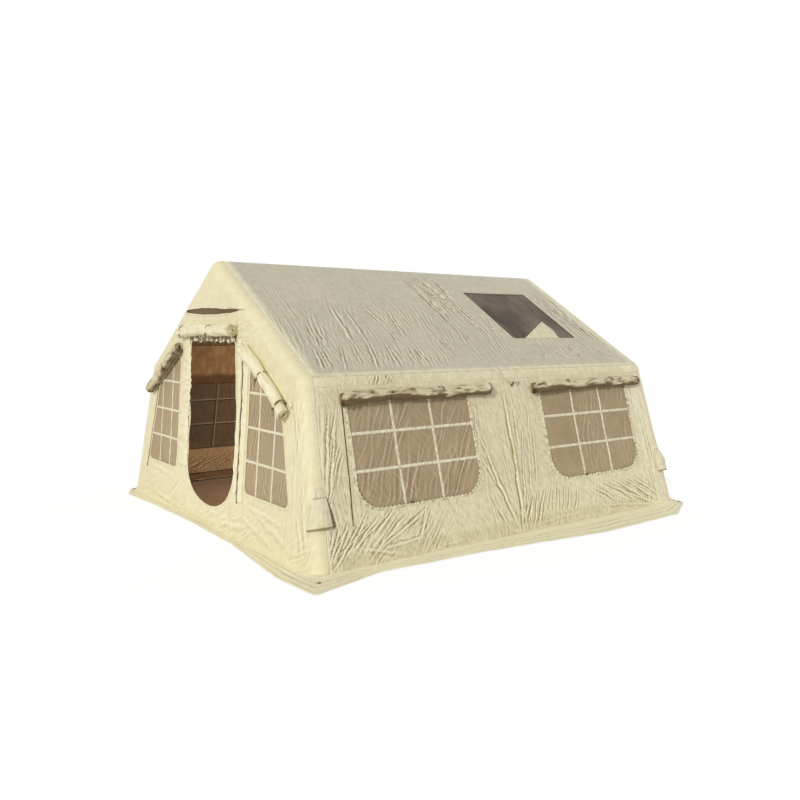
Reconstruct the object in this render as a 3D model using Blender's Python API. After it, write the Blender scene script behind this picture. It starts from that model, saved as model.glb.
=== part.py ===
"""Inflatable cabin tent: air-tube frame, sewn skin, lattice windows, rolled covers, doors and valves."""

import math

import bmesh
import bpy
from mathutils import Matrix, Vector

# Outer faces of the skin
GROUND_WIDTH = 3.72
GROUND_LENGTH = 4.00
EAVE_WIDTH = 3.00
EAVE_LENGTH = 3.81
EAVE_HEIGHT = 1.32
RIDGE_HEIGHT = 2.245

# Cloth, and the clearance between pieces that touch
CLOTH = 0.003
TAPE = 0.0015
FILM = 0.0015
FLOOR = 0.003
SEAT_GAP = 0.0003
CUT_OVERRUN = 0.02

# Air tubes
TUBE_RADIUS = 0.09
TUBE_SIDES = 16
BEND_RADIUS = 0.16
BEND_STEPS = 4
SADDLE_SHARE = 0.4
ROOM_TURN_SHARE = 0.5

# Side windows, measured along the wall
SIDE_SILL = 0.40
SIDE_HEAD_DROP = 0.13
SIDE_WINDOW_TO_MIDDLE_TUBE = 0.33
SIDE_WINDOW_TO_END_TUBE = 0.15
SIDE_WINDOW_LOW_RADIUS = 0.19
SIDE_WINDOW_HIGH_RADIUS = 0.05
WINDOW_SEAM = 0.02
LATTICE_TAPE = 0.024
SIDE_UPRIGHT_SHARES = (0.34, 0.66)
SIDE_RAIL_SHARES = (0.34, 0.68)
ARC_STEPS = 5

# Gable door, windows and vent
DOOR_WIDTH = 0.96
DOOR_SHIFT = 0.03
DOOR_SILL = 0.16
DOOR_HEAD_BELOW_RIDGE_TUBE = 0.565
DOOR_LOW_RADIUS = 0.34
DOOR_HIGH_RADIUS = 0.08
GABLE_WINDOW_TO_DOOR = 0.24
GABLE_SILL = 0.385
GABLE_WINDOW_TO_LEG = 0.13
GABLE_WINDOW_TO_RAFTER = 0.115
GABLE_WINDOW_RADIUS = 0.05
GABLE_UPRIGHT_SHARES = (0.26, 0.61)
GABLE_RAIL_SHARES = (0.24, 0.485, 0.735)
VENT_BELOW_RIDGE_TUBE = 0.325
VENT_HEIGHT = 0.06
VENT_TO_EDGE = 0.08
VENT_STEPS = 8

# Roof window, measured along the slope from the ridge
SKYLIGHT_FROM_RIDGE = 0.42
SKYLIGHT_LENGTH = 0.85
SKYLIGHT_WIDTH = 0.85
SKYLIGHT_TO_MIDDLE = 0.57
SKYLIGHT_RADIUS = 0.02

# Rolled covers of the side windows
SIDE_ROLL_RADIUS = 0.046
SIDE_ROLL_DROP = 0.118
FRONT_ROLL_PAST_END = 0.05
FRONT_ROLL_PAST_MIDDLE = 0.25
REAR_ROLL_PAST_END = 0.15
REAR_ROLL_PAST_MIDDLE = 0.11
SIDE_TIE_SHARES = (0.27, 0.62)

# Rolled covers of the gable windows
GABLE_ROLL_RADIUS = 0.05
GABLE_ROLL_LIFT = 0.03
GABLE_ROLL_INNER_PAST = 0.05
GABLE_ROLL_OUTER_PAST = 0.15
GABLE_TIE_SHARES = (0.38, 0.72)

# Rolled doors
DOOR_ROLL_RADIUS = 0.05
DOOR_ROLL_ABOVE_HEAD = 0.08
DOOR_ROLL_LENGTH = 1.10
DOOR_ROLL_SHIFT = -0.05
DOOR_TIE_SHARES = (0.20, 0.80)
MESH_ROLL_RADIUS = 0.03
MESH_ROLL_ABOVE_HEAD = 0.02
MESH_TIE_SHARES = (0.25, 0.75)

# Cloth rolls and their ties
ROLL_SIDES = 13
ROLL_LIP_SHARE = 0.16
PINCH_SHARE = 0.22
PINCH_REACH = 0.08
END_SHARE = 0.80
TIE_WIDTH = 0.02
TIE_THICKNESS = 0.003
TIE_TAIL = 0.07
TIE_TAIL_WIDTH = 0.014
WALL_CLEARANCE = 0.0006

# Ground skirt: reach from the wall, as shares, at stations along each side
SKIRT_REACH = 0.25
SKIRT_THICKNESS = 0.003
DOOR_SIDE_STATION_SHARES = ((-0.86, 0.60), (-0.50, 0.40), (-0.08, 0.32), (0.40, 0.40), (0.89, 0.83))
LONG_SIDE_STATION_SHARES = ((-0.79, 0.52), (-0.31, 0.75), (0.28, 1.40), (0.79, 1.28))
PULLED_CORNER_SHARES = (1.14, 0.73)
TUCKED_CORNER_SHARES = (0.32, 0.14)

# Inflation valves on the right-hand legs, under a cloth flap
VALVE_HEIGHT = 0.40
VALVE_RADIUS = 0.024
VALVE_STAND = 0.012
CAP_RADIUS = 0.019
CAP_THICKNESS = 0.008
CAP_GRIP = 0.004
CAP_GRIP_WIDTH = 0.006
VALVE_SIDES = 20
FLAP_HEIGHT = 0.20
FLAP_ABOVE_VALVE = 0.12
FLAP_WING = 0.055
FLAP_STAND = 0.034
FLAP_COLUMNS = 12
FLAP_ROWS = 4
FLAP_FLARE_SHARE = 0.35

# Zip slider beside each door
SLIDER_FROM_DOOR = 0.075
SLIDER_START = 0.35
SLIDER_LENGTH = 0.030
SLIDER_WIDTH = 0.014
SLIDER_THICKNESS = 0.007
PULL_LENGTH = 0.035
PULL_WIDTH = 0.008
PULL_THICKNESS = 0.002

# Guy ring on a webbing tab under each eave
GUY_FROM_MIDDLE = 0.165
GUY_DROP = 0.07
TAB_LENGTH = 0.026
TAB_HEIGHT = 0.016
TAB_STAND = 0.014
RING_WIRE = 0.0025
RING_BORE_GAP = 0.001
RING_WIDTH = 0.042
RING_DEPTH = 0.030
RING_SIDES = 8
RING_STEPS = 8

SIDE_LEAN = math.atan2((GROUND_WIDTH - EAVE_WIDTH) / 2, EAVE_HEIGHT)
GABLE_LEAN = math.atan2((GROUND_LENGTH - EAVE_LENGTH) / 2, EAVE_HEIGHT)
ROOF_PITCH = math.atan2(RIDGE_HEIGHT - EAVE_HEIGHT, EAVE_WIDTH / 2)
TUBE_DEPTH = CLOTH + SEAT_GAP + TUBE_RADIUS
FLOOR_TOP = FLOOR + SEAT_GAP
ENDS = {"front": -1, "rear": 1}
SIDES = {"right": 1, "left": -1}


def clear_scene():
    for old in list(bpy.data.objects):
        bpy.data.objects.remove(old, do_unlink=True)


def finish(name, colour, roughness, metallic=0.0):
    """A plain Principled material."""
    material = bpy.data.materials.new(name)
    material.use_nodes = True
    shader = material.node_tree.nodes["Principled BSDF"]
    shader.inputs["Base Color"].default_value = (*colour, 1.0)
    shader.inputs["Roughness"].default_value = roughness
    shader.inputs["Metallic"].default_value = metallic
    return material


def make_object(name, mesh, material, parent=None):
    obj = bpy.data.objects.new(name, mesh)
    bpy.context.scene.collection.objects.link(obj)
    if material is not None:
        mesh.materials.append(material)
    obj.parent = parent
    return obj


def make_helper(name, mesh, parent=None):
    """A cutter or an addition that only a modifier uses."""
    obj = make_object(name, mesh, None, parent)
    obj.hide_render = True
    obj.display_type = "WIRE"
    return obj


def combine(target, helper, operation):
    modifier = target.modifiers.new(helper.name, "BOOLEAN")
    modifier.object = helper
    modifier.operation = operation
    modifier.solver = "EXACT"


def mesh_from(name, bm):
    bmesh.ops.recalc_face_normals(bm, faces=bm.faces)
    mesh = bpy.data.meshes.new(name)
    bm.to_mesh(mesh)
    bm.free()
    return mesh


def slab(name, outline, low, high):
    """A closed plate: the outline in X and Y, extruded from low to high."""
    bm = bmesh.new()
    face = bm.faces.new([bm.verts.new((x, y, low)) for x, y in outline])
    raised = bmesh.ops.extrude_face_region(bm, geom=[face])["geom"]
    verts = [item for item in raised if isinstance(item, bmesh.types.BMVert)]
    bmesh.ops.translate(bm, verts=verts, vec=(0, 0, high - low))
    return mesh_from(name, bm)


def loft(name, rings):
    """A closed body through rings of as many points each."""
    bm = bmesh.new()
    loops = [[bm.verts.new(point) for point in ring] for ring in rings]
    for lower, upper in zip(loops, loops[1:]):
        for index in range(len(lower)):
            after = (index + 1) % len(lower)
            bm.faces.new((lower[index], lower[after], upper[after], upper[index]))
    bm.faces.new(loops[0])
    bm.faces.new(loops[-1])
    return mesh_from(name, bm)


def boxes(name, ranges):
    """Separate boxes in one mesh, each from ((x, x), (y, y), (z, z))."""
    bm = bmesh.new()
    for spans in ranges:
        size = [span[1] - span[0] for span in spans]
        middle = [(span[0] + span[1]) / 2 for span in spans]
        place = Matrix.Translation(middle) @ Matrix.Diagonal((*size, 1.0))
        bmesh.ops.create_cube(bm, size=1.0, matrix=place)
    return mesh_from(name, bm)


def rod(name, radius, low, high, sides=VALVE_SIDES):
    """A cylinder along Z."""
    bm = bmesh.new()
    place = Matrix.Translation((0, 0, (low + high) / 2))
    bmesh.ops.create_cone(
        bm, cap_ends=True, segments=sides, radius1=radius, radius2=radius, depth=high - low, matrix=place
    )
    return mesh_from(name, bm)


def smooth(obj, angle):
    obj.data.shade_smooth()
    obj.data.set_sharp_from_angle(angle=angle)


def rounded(corners, radii):
    """A polygon's points, with each corner turned into an arc of its own radius."""
    outline = []
    for index, corner in enumerate(corners):
        here = Vector(corner)
        before = Vector(corners[index - 1]) - here
        after = Vector(corners[(index + 1) % len(corners)]) - here
        half = before.angle(after) / 2
        reach = min(radii[index] / math.tan(half), before.length / 2, after.length / 2)
        radius = reach * math.tan(half)
        centre = here + (before.normalized() + after.normalized()).normalized() * radius / math.sin(half)
        start = here + before.normalized() * reach - centre
        end = here + after.normalized() * reach - centre
        turn = start.angle_signed(end)
        for step in range(ARC_STEPS + 1):
            spoke = start.copy()
            spoke.rotate(Matrix.Rotation(-turn * step / ARC_STEPS, 2))
            outline.append(tuple(centre + spoke))
    return outline


def grown(corners, reach):
    """A convex polygon's corners, moved out by the same reach along each side's normal."""
    count = len(corners)
    turn = sum(
        corners[i][0] * corners[(i + 1) % count][1] - corners[(i + 1) % count][0] * corners[i][1]
        for i in range(count)
    )
    sign = 1 if turn > 0 else -1
    moved = []
    for index in range(count):
        here = Vector(corners[index])
        arriving = (here - Vector(corners[index - 1])).normalized()
        leaving = (Vector(corners[(index + 1) % count]) - here).normalized()
        out_a = Vector((arriving.y, -arriving.x)) * sign
        out_b = Vector((leaving.y, -leaving.x)) * sign
        moved.append(tuple(here + (out_a + out_b) * reach / (1 + out_a.dot(out_b))))
    return moved


# Section of the frame

def leg_axis_x(z):
    return GROUND_WIDTH / 2 - z * math.tan(SIDE_LEAN) - TUBE_DEPTH / math.cos(SIDE_LEAN)


def leg_axis_y(z):
    return GROUND_LENGTH / 2 - z * math.tan(GABLE_LEAN) - TUBE_DEPTH / math.cos(GABLE_LEAN)


def leg_inside_x(z):
    return leg_axis_x(z) - TUBE_RADIUS / math.cos(SIDE_LEAN)


def rafter_underside(x):
    return RIDGE_HEIGHT - x * math.tan(ROOF_PITCH) - (TUBE_DEPTH + TUBE_RADIUS) / math.cos(ROOF_PITCH)


def eave_axis():
    """The eave tube's axis, (x, z), one tube depth inside the wall and the roof."""
    wall = GROUND_WIDTH / 2 * math.cos(SIDE_LEAN) - TUBE_DEPTH
    roof = RIDGE_HEIGHT * math.cos(ROOF_PITCH) - TUBE_DEPTH
    turn = math.cos(SIDE_LEAN + ROOF_PITCH)
    x = (wall * math.cos(ROOF_PITCH) - roof * math.sin(SIDE_LEAN)) / turn
    z = (roof * math.cos(SIDE_LEAN) - wall * math.sin(ROOF_PITCH)) / turn
    return x, z


EAVE_X, EAVE_Z = eave_axis()
RIDGE_Z = RIDGE_HEIGHT - TUBE_DEPTH / math.cos(ROOF_PITCH)
ARCH_Y = EAVE_LENGTH / 2 - TUBE_DEPTH
WALL_TOP = EAVE_Z * math.cos(SIDE_LEAN) + (GROUND_WIDTH / 2 - EAVE_X) * math.sin(SIDE_LEAN)
WALL_BOTTOM = (FLOOR_TOP + CLOTH * math.sin(SIDE_LEAN)) / math.cos(SIDE_LEAN)
ROOF_TOP = TUBE_DEPTH * math.tan(ROOF_PITCH)
ROOF_BOTTOM = EAVE_X * math.cos(ROOF_PITCH) + (RIDGE_HEIGHT - EAVE_Z) * math.sin(ROOF_PITCH)
DOOR_HEAD = RIDGE_Z - DOOR_HEAD_BELOW_RIDGE_TUBE


# Frames in which each face of the tent is flat: X along it, Y up it, Z out of it

def face_frame(name, origin, along, up):
    out = along.cross(up)
    frame = bpy.data.objects.new(name, None)
    bpy.context.scene.collection.objects.link(frame)
    frame.matrix_world = Matrix.Translation(origin) @ Matrix((along, up, out)).transposed().to_4x4()
    return frame


def make_frames():
    frames = {}
    for side, sign in SIDES.items():
        up = Vector((-sign * math.sin(SIDE_LEAN), 0, math.cos(SIDE_LEAN)))
        foot = Vector((sign * GROUND_WIDTH / 2, 0, 0))
        frames[side + "_wall"] = face_frame(side + "_wall_frame", foot, Vector((0, sign, 0)), up)
        slope = Vector((-sign * math.cos(ROOF_PITCH), 0, math.sin(ROOF_PITCH)))
        top = Vector((0, 0, RIDGE_HEIGHT))
        frames[side + "_roof"] = face_frame(side + "_roof_frame", top, Vector((0, sign, 0)), slope)
    for end, sign in ENDS.items():
        frames[end + "_gable"] = face_frame(
            end + "_gable_frame", Vector((0, 0, 0)), Vector((-sign, 0, 0)), Vector((0, 0, 1))
        )
    bpy.context.view_layer.update()
    return frames


def gable_face(height):
    """How far the gable's outer face stands from the middle of the tent at this height."""
    lean = (GROUND_LENGTH - EAVE_LENGTH) / 2 * max(0, 1 - height / EAVE_HEIGHT)
    return EAVE_LENGTH / 2 + lean


def lean_with_gable(mesh, crease=True):
    """Moves a mesh, made on a flat gable, out to the gable that leans below the eave."""
    bm = bmesh.new()
    bm.from_mesh(mesh)
    if crease:
        whole = bm.verts[:] + bm.edges[:] + bm.faces[:]
        bmesh.ops.bisect_plane(bm, geom=whole, plane_co=(0, EAVE_HEIGHT, 0), plane_no=(0, 1, 0))
    for vert in bm.verts:
        vert.co.z += gable_face(vert.co.y)
    bm.to_mesh(mesh)
    bm.free()


def set_origin(obj, point):
    """Puts the object's origin at a point of its parent's frame and leaves its shape in place."""
    obj.data.transform(Matrix.Translation(-Vector(point)))
    obj.location = point


# Air tubes

def bent_path(corners):
    path = [corners[0]]
    for before, here, after in zip(corners, corners[1:], corners[2:]):
        back = (before - here).normalized()
        ahead = (after - here).normalized()
        half = back.angle(ahead) / 2
        centre = here + (back + ahead).normalized() * BEND_RADIUS / math.sin(half)
        start = here + back * BEND_RADIUS / math.tan(half) - centre
        end = here + ahead * BEND_RADIUS / math.tan(half) - centre
        for step in range(BEND_STEPS + 1):
            spoke = start.normalized().slerp(end.normalized(), step / BEND_STEPS)
            path.append(centre + spoke * BEND_RADIUS)
    path.append(corners[-1])
    return path


def arch_mesh(name, foot_y, top_y, radius, foot_z, first_share=0):
    """A leg, two rafters and a leg, swept round; both feet are cut level.

    The first corner of each ring is a share of one step round from the outside.
    """
    foot_x = leg_axis_x(foot_z)
    corners = [
        Vector((-foot_x, foot_y, foot_z)),
        Vector((-EAVE_X, top_y, EAVE_Z)),
        Vector((0, top_y, RIDGE_Z)),
        Vector((EAVE_X, top_y, EAVE_Z)),
        Vector((foot_x, foot_y, foot_z)),
    ]
    path = bent_path(corners)
    rings = []
    for index, point in enumerate(path):
        behind = path[max(index - 1, 0)]
        ahead = path[min(index + 1, len(path) - 1)]
        along = (ahead - behind).normalized()
        across = Vector((0, 1, 0)) - along * along.y
        across.normalize()
        out = across.cross(along)
        ring = []
        for side in range(TUBE_SIDES):
            angle = 2 * math.pi * (side + first_share) / TUBE_SIDES
            spot = point + (out * math.cos(angle) + across * math.sin(angle)) * radius
            if index in (0, len(path) - 1):
                spot += along * (foot_z - spot.z) / along.z
            ring.append(spot)
        rings.append(ring)
    return loft(name, rings)


def beam_mesh(name, x, z, start, end, first_angle):
    """A straight tube along Y."""
    rings = []
    for y in (start, end):
        ring = []
        for side in range(TUBE_SIDES):
            angle = first_angle + 2 * math.pi * side / TUBE_SIDES
            ring.append(Vector((x + TUBE_RADIUS * math.cos(angle), y, z + TUBE_RADIUS * math.sin(angle))))
        rings.append(ring)
    return loft(name, rings)


def make_air_frame(material):
    foot = leg_axis_y(FLOOR_TOP)
    places = {"front": (-foot, -ARCH_Y), "middle": (0, 0), "rear": (foot, ARCH_Y)}
    room_radius = (TUBE_RADIUS + SEAT_GAP) / math.cos(math.pi / TUBE_SIDES)
    cutters = {}
    for place, (foot_y, top_y) in places.items():
        arch = arch_mesh(place + "_air_arch", foot_y, top_y, TUBE_RADIUS, FLOOR_TOP)
        smooth(make_object(place + "_air_arch", arch, material), math.radians(40))
        room = arch_mesh(place + "_arch_room", foot_y, top_y, room_radius, FLOOR_TOP, ROOM_TURN_SHARE)
        cutters[place] = make_helper(place + "_arch_room", room)
    reach = ARCH_Y - TUBE_RADIUS * SADDLE_SHARE
    near = TUBE_RADIUS * SADDLE_SHARE
    for end, sign in ENDS.items():
        spans = {"ridge_air_beam_" + end: (0, RIDGE_Z, math.pi / 2 - ROOF_PITCH)}
        for side, turn in SIDES.items():
            first = SIDE_LEAN if turn > 0 else math.pi - SIDE_LEAN
            spans[side + "_eave_air_beam_" + end] = (turn * EAVE_X, EAVE_Z, first)
        for name, (x, z, first) in spans.items():
            low, high = sorted((sign * near, sign * reach))
            beam = make_object(name, beam_mesh(name, x, z, low, high, first), material)
            combine(beam, cutters["middle"], "DIFFERENCE")
            combine(beam, cutters[end], "DIFFERENCE")
            smooth(beam, math.radians(40))


# Windows

def side_window_corners(bay):
    """The window's corners in the wall's frame; bay is -1 or 1 along it."""
    near = TUBE_RADIUS + SIDE_WINDOW_TO_MIDDLE_TUBE
    far = ARCH_Y - TUBE_RADIUS - SIDE_WINDOW_TO_END_TUBE
    low, high = sorted((bay * near, bay * far))
    top = WALL_TOP - SIDE_HEAD_DROP
    return [(low, SIDE_SILL), (high, SIDE_SILL), (high, top), (low, top)]


def side_window_radii():
    return [SIDE_WINDOW_LOW_RADIUS] * 2 + [SIDE_WINDOW_HIGH_RADIUS] * 2


def gable_window_corners(side):
    """The window's corners in the gable's frame; side is -1 or 1 along it."""
    inner = DOOR_WIDTH / 2 + GABLE_WINDOW_TO_DOOR
    wall = leg_inside_x(0) - GABLE_WINDOW_TO_LEG
    roof = rafter_underside(0) - GABLE_WINDOW_TO_RAFTER / math.cos(ROOF_PITCH)
    lean = math.tan(SIDE_LEAN)
    pitch = math.tan(ROOF_PITCH)
    outer = (wall - roof * lean) / (1 - pitch * lean)
    corners = [
        (inner, GABLE_SILL),
        (wall - GABLE_SILL * lean, GABLE_SILL),
        (outer, roof - outer * pitch),
        (inner, roof - inner * pitch),
    ]
    return [(side * x, y) for x, y in corners]


def spaces_between(low, tapes, high):
    """The spaces between parallel tapes, the first and last of which run past the window's seam."""
    half = LATTICE_TAPE / 2
    reach = WINDOW_SEAM + CUT_OVERRUN
    starts = [low - reach] + [tape + half for tape in tapes]
    ends = [tape - half for tape in tapes] + [high + reach]
    return list(zip(starts, ends))


def lattice_cells(corners, upright_shares, rail_shares):
    """The open cells between crossing tapes, as ranges for boxes; the outer ones run past the outline."""
    xs = [x for x, _ in corners]
    ys = [y for _, y in corners]
    if xs[1] > xs[0]:
        uprights = [min(xs) + share * (max(xs) - min(xs)) for share in upright_shares]
    else:
        uprights = [max(xs) - share * (max(xs) - min(xs)) for share in reversed(upright_shares)]
    rails = [min(ys) + share * (max(ys) - min(ys)) for share in rail_shares]
    columns = spaces_between(min(xs), uprights, max(xs))
    rows = spaces_between(min(ys), rails, max(ys))
    return [(column, row) for column in columns for row in rows]


def make_window(name, corners, radii, shares, frame, wall, leaning, finishes):
    """Cuts the opening in the wall, and adds the pane and the lattice of tapes behind it."""
    hole = slab(name, rounded(corners, radii), -CUT_OVERRUN, CUT_OVERRUN)
    opening = make_helper(name + "_opening", hole, frame)
    seam_outline = rounded(grown(corners, WINDOW_SEAM), [radius + WINDOW_SEAM for radius in radii])
    tape_top = -CLOTH - SEAT_GAP
    pane_top = tape_top - TAPE - SEAT_GAP
    lattice = make_object(
        name + "_lattice", slab(name, seam_outline, tape_top - TAPE, tape_top), finishes["tape"], frame
    )
    film = slab(name, seam_outline, pane_top - FILM, pane_top)
    pane = make_object(name + "_pane", film, finishes["pane"], frame)
    depth = (tape_top - TAPE - CUT_OVERRUN, tape_top + CUT_OVERRUN)
    cells = [(column, row, depth) for column, row in lattice_cells(corners, *shares)]
    cutter = make_helper(name + "_cells", boxes(name + "_cells", cells), frame)
    if leaning:
        for obj in (opening, lattice, pane, cutter):
            lean_with_gable(obj.data)
    combine(wall, opening, "DIFFERENCE")
    combine(lattice, cutter, "DIFFERENCE")


# Rolled cloth

def roll_section(spot, radius, share):
    """One ring of a cloth roll: a single turn whose free edge lies on top of its start."""
    ring = []
    for index in range(ROLL_SIDES):
        turn = index / (ROLL_SIDES - 1)
        reach = radius * share * (1 - ROLL_LIP_SHARE * turn)
        angle = 2 * math.pi * turn + math.pi / 2
        ring.append(Vector((spot, reach * math.cos(angle), reach * math.sin(angle))))
    return ring


def roll_seat(radius):
    """How far the roll's axis is from the face that its flat side lies on."""
    return radius * (1 - ROLL_LIP_SHARE / 2) + SEAT_GAP


def roll_stations(length, ties):
    """Where the roll's rings are, each with a share of its thickness: drawn in at ties and ends."""
    stations = {-length / 2: END_SHARE, 0: 1, length / 2: END_SHARE}
    for tie in ties:
        stations |= {tie - PINCH_REACH: 1, tie: 1 - PINCH_SHARE, tie + PINCH_REACH: 1}
    return sorted(stations.items())


def make_roll(name, length, radius, tie_shares, material, frame, centre, turn, leaning, tail_side):
    """A roll along its own X, drawn in by ties with a hanging tail, then turned and placed on a face."""
    ties = [(share - 0.5) * length for share in tie_shares]
    rings = [roll_section(spot, radius, share) for spot, share in roll_stations(length, ties)]
    roll = make_object(name, loft(name, rings), material, frame)
    parts = []
    for number, tie in enumerate(ties):
        hold = radius * (1 - PINCH_SHARE) + TIE_THICKNESS
        band = rod(name, hold, -TIE_WIDTH / 2, TIE_WIDTH / 2, ROLL_SIDES - 1)
        band.transform(Matrix.Translation((tie, 0, 0)) @ Matrix.Rotation(math.pi / 2, 4, "Y"))
        tail_span = (
            (tie - TIE_TAIL_WIDTH / 2, tie + TIE_TAIL_WIDTH / 2),
            (-hold - TIE_TAIL, 0),
            tuple(sorted((tail_side * (hold - 2 * TIE_THICKNESS), tail_side * (hold - TIE_THICKNESS)))),
        )
        parts.append((name + f"_band_{number}", band))
        parts.append((name + f"_tail_{number}", boxes(name, [tail_span])))
    place = Matrix.Translation(centre) @ Matrix.Rotation(turn, 4, "Z")
    roll.data.transform(place)
    helpers = []
    for part_name, part in parts:
        part.transform(place)
        helpers.append(make_helper(part_name, part, frame))
    origin = Vector(centre)
    if leaning:
        for obj in [roll] + helpers:
            lean_with_gable(obj.data, crease=False)
        origin.z += gable_face(origin.y)
    for helper in helpers:
        combine(roll, helper, "UNION")
    set_origin(roll, origin)
    smooth(roll, math.radians(50))
    return roll


# Skin

def wall_panel_outline(bay):
    """Half of a long wall, from the middle seam to the end tube, in the wall's frame."""
    def edge(height):
        share = (height - WALL_BOTTOM) / (WALL_TOP - WALL_BOTTOM)
        return leg_axis_y(FLOOR_TOP) + (ARCH_Y - leg_axis_y(FLOOR_TOP)) * share
    seam = SEAT_GAP / 2
    return [
        (bay * seam, WALL_BOTTOM),
        (bay * edge(WALL_BOTTOM), WALL_BOTTOM),
        (bay * edge(WALL_TOP), WALL_TOP),
        (bay * seam, WALL_TOP),
    ]


def roof_panel_outline(bay):
    near = bay * SEAT_GAP / 2
    far = bay * ARCH_Y
    return [(near, -ROOF_TOP), (far, -ROOF_TOP), (far, -ROOF_BOTTOM), (near, -ROOF_BOTTOM)]


def vent_outline(middle, half_width):
    """An eye: two shallow arcs that meet in points."""
    upper = []
    for step in range(VENT_STEPS + 1):
        share = step / VENT_STEPS
        upper.append((half_width * (2 * share - 1), VENT_HEIGHT / 2 * math.sin(math.pi * share)))
    lower = [(x, -y) for x, y in reversed(upper[1:-1])]
    return [(x, middle + y) for x, y in upper + lower]


def end_of_bay(side, bay):
    """Which end of the tent a bay of a long wall or roof is at."""
    return "rear" if SIDES[side] * bay > 0 else "front"


def make_long_walls(frames, finishes):
    shares = (SIDE_UPRIGHT_SHARES, SIDE_RAIL_SHARES)
    for side in SIDES:
        frame = frames[side + "_wall"]
        for bay in (-1, 1):
            end = end_of_bay(side, bay)
            stem = f"{side}_{end}"
            panel = slab(stem, wall_panel_outline(bay), -CLOTH, 0)
            wall = make_object(stem + "_wall", panel, finishes["wall"], frame)
            corners = side_window_corners(bay)
            radii = side_window_radii()
            make_window(stem + "_window", corners, radii, shares, frame, wall, False, finishes)
            past_end, past_middle = REAR_ROLL_PAST_END, REAR_ROLL_PAST_MIDDLE
            if bay < 0:
                past_end, past_middle = FRONT_ROLL_PAST_END, FRONT_ROLL_PAST_MIDDLE
            near = TUBE_RADIUS + SIDE_WINDOW_TO_MIDDLE_TUBE - past_middle
            far = ARCH_Y - TUBE_RADIUS - SIDE_WINDOW_TO_END_TUBE + past_end
            centre = (bay * (near + far) / 2, WALL_TOP - SIDE_ROLL_DROP, roll_seat(SIDE_ROLL_RADIUS))
            make_roll(
                stem + "_window_cover", far - near, SIDE_ROLL_RADIUS, SIDE_TIE_SHARES, finishes["cover"],
                frame, centre, 0, False, 1,
            )


def make_roof(frames, finishes):
    for side in SIDES:
        frame = frames[side + "_roof"]
        for bay in (-1, 1):
            stem = f"{side}_{end_of_bay(side, bay)}"
            panel = slab(stem, roof_panel_outline(bay), -CLOTH, 0)
            roof = make_object(stem + "_roof", panel, finishes["roof"], frame)
            if stem != "right_rear":
                continue
            low, high = sorted((bay * SKYLIGHT_TO_MIDDLE, bay * (SKYLIGHT_TO_MIDDLE + SKYLIGHT_LENGTH)))
            top = -SKYLIGHT_FROM_RIDGE
            corners = [(low, top - SKYLIGHT_WIDTH), (high, top - SKYLIGHT_WIDTH), (high, top), (low, top)]
            radii = [SKYLIGHT_RADIUS] * len(corners)
            hole = slab(stem, rounded(corners, radii), -CUT_OVERRUN, CUT_OVERRUN)
            combine(roof, make_helper("skylight_opening", hole, frame), "DIFFERENCE")
            seam = rounded(grown(corners, WINDOW_SEAM), [radius + WINDOW_SEAM for radius in radii])
            film_top = -CLOTH - SEAT_GAP
            film = slab(stem, seam, film_top - FILM, film_top)
            make_object("skylight_pane", film, finishes["film"], frame)


def make_gables(frames, finishes):
    shares = (GABLE_UPRIGHT_SHARES, GABLE_RAIL_SHARES)
    for end in ENDS:
        frame = frames[end + "_gable"]
        foot_x = leg_axis_x(FLOOR_TOP)
        outline = [(-foot_x, FLOOR_TOP), (foot_x, FLOOR_TOP), (EAVE_X, EAVE_Z)]
        outline += [(0, RIDGE_Z), (-EAVE_X, EAVE_Z)]
        wall = make_object(end + "_gable_wall", slab(end, outline, -CLOTH, 0), finishes["gable"], frame)
        lean_with_gable(wall.data)
        half = DOOR_WIDTH / 2
        door = rounded(
            [
                (DOOR_SHIFT - half, DOOR_SILL),
                (DOOR_SHIFT + half, DOOR_SILL),
                (DOOR_SHIFT + half, DOOR_HEAD),
                (DOOR_SHIFT - half, DOOR_HEAD),
            ],
            [DOOR_LOW_RADIUS, DOOR_LOW_RADIUS, DOOR_HIGH_RADIUS, DOOR_HIGH_RADIUS],
        )
        vent_z = RIDGE_Z - VENT_BELOW_RIDGE_TUBE
        edge = EAVE_X * VENT_BELOW_RIDGE_TUBE / (RIDGE_Z - EAVE_Z)
        vent = vent_outline(vent_z, edge - VENT_TO_EDGE)
        for label, shape in (("door", door), ("vent", vent)):
            hole = slab(label, shape, -CUT_OVERRUN, CUT_OVERRUN)
            lean_with_gable(hole)
            combine(wall, make_helper(f"{end}_{label}_opening", hole, frame), "DIFFERENCE")
        radii = [GABLE_WINDOW_RADIUS] * 4
        hand = {"front": {1: "right", -1: "left"}, "rear": {1: "left", -1: "right"}}[end]
        for side in (1, -1):
            corners = gable_window_corners(side)
            stem = f"{end}_gable_{hand[side]}_window"
            make_window(stem, corners, radii, shares, frame, wall, True, finishes)
            make_gable_cover(stem + "_cover", side, corners, frame, finishes)
        make_door_rolls(end, frame, finishes)
        make_slider(end, frame, finishes)


def make_gable_cover(name, side, corners, frame, finishes):
    """The cover rolled up along the window's sloping head."""
    inner = side * corners[3][0] - GABLE_ROLL_INNER_PAST
    outer = side * corners[2][0] + GABLE_ROLL_OUTER_PAST
    middle = (inner + outer) / 2
    head = corners[3][1] + (side * corners[3][0] - middle) * math.tan(ROOF_PITCH) + GABLE_ROLL_LIFT
    length = (outer - inner) / math.cos(ROOF_PITCH)
    make_roll(
        name, length, GABLE_ROLL_RADIUS, GABLE_TIE_SHARES, finishes["cover"], frame,
        (side * middle, head, roll_seat(GABLE_ROLL_RADIUS)), -side * ROOF_PITCH, True, 1,
    )


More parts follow.
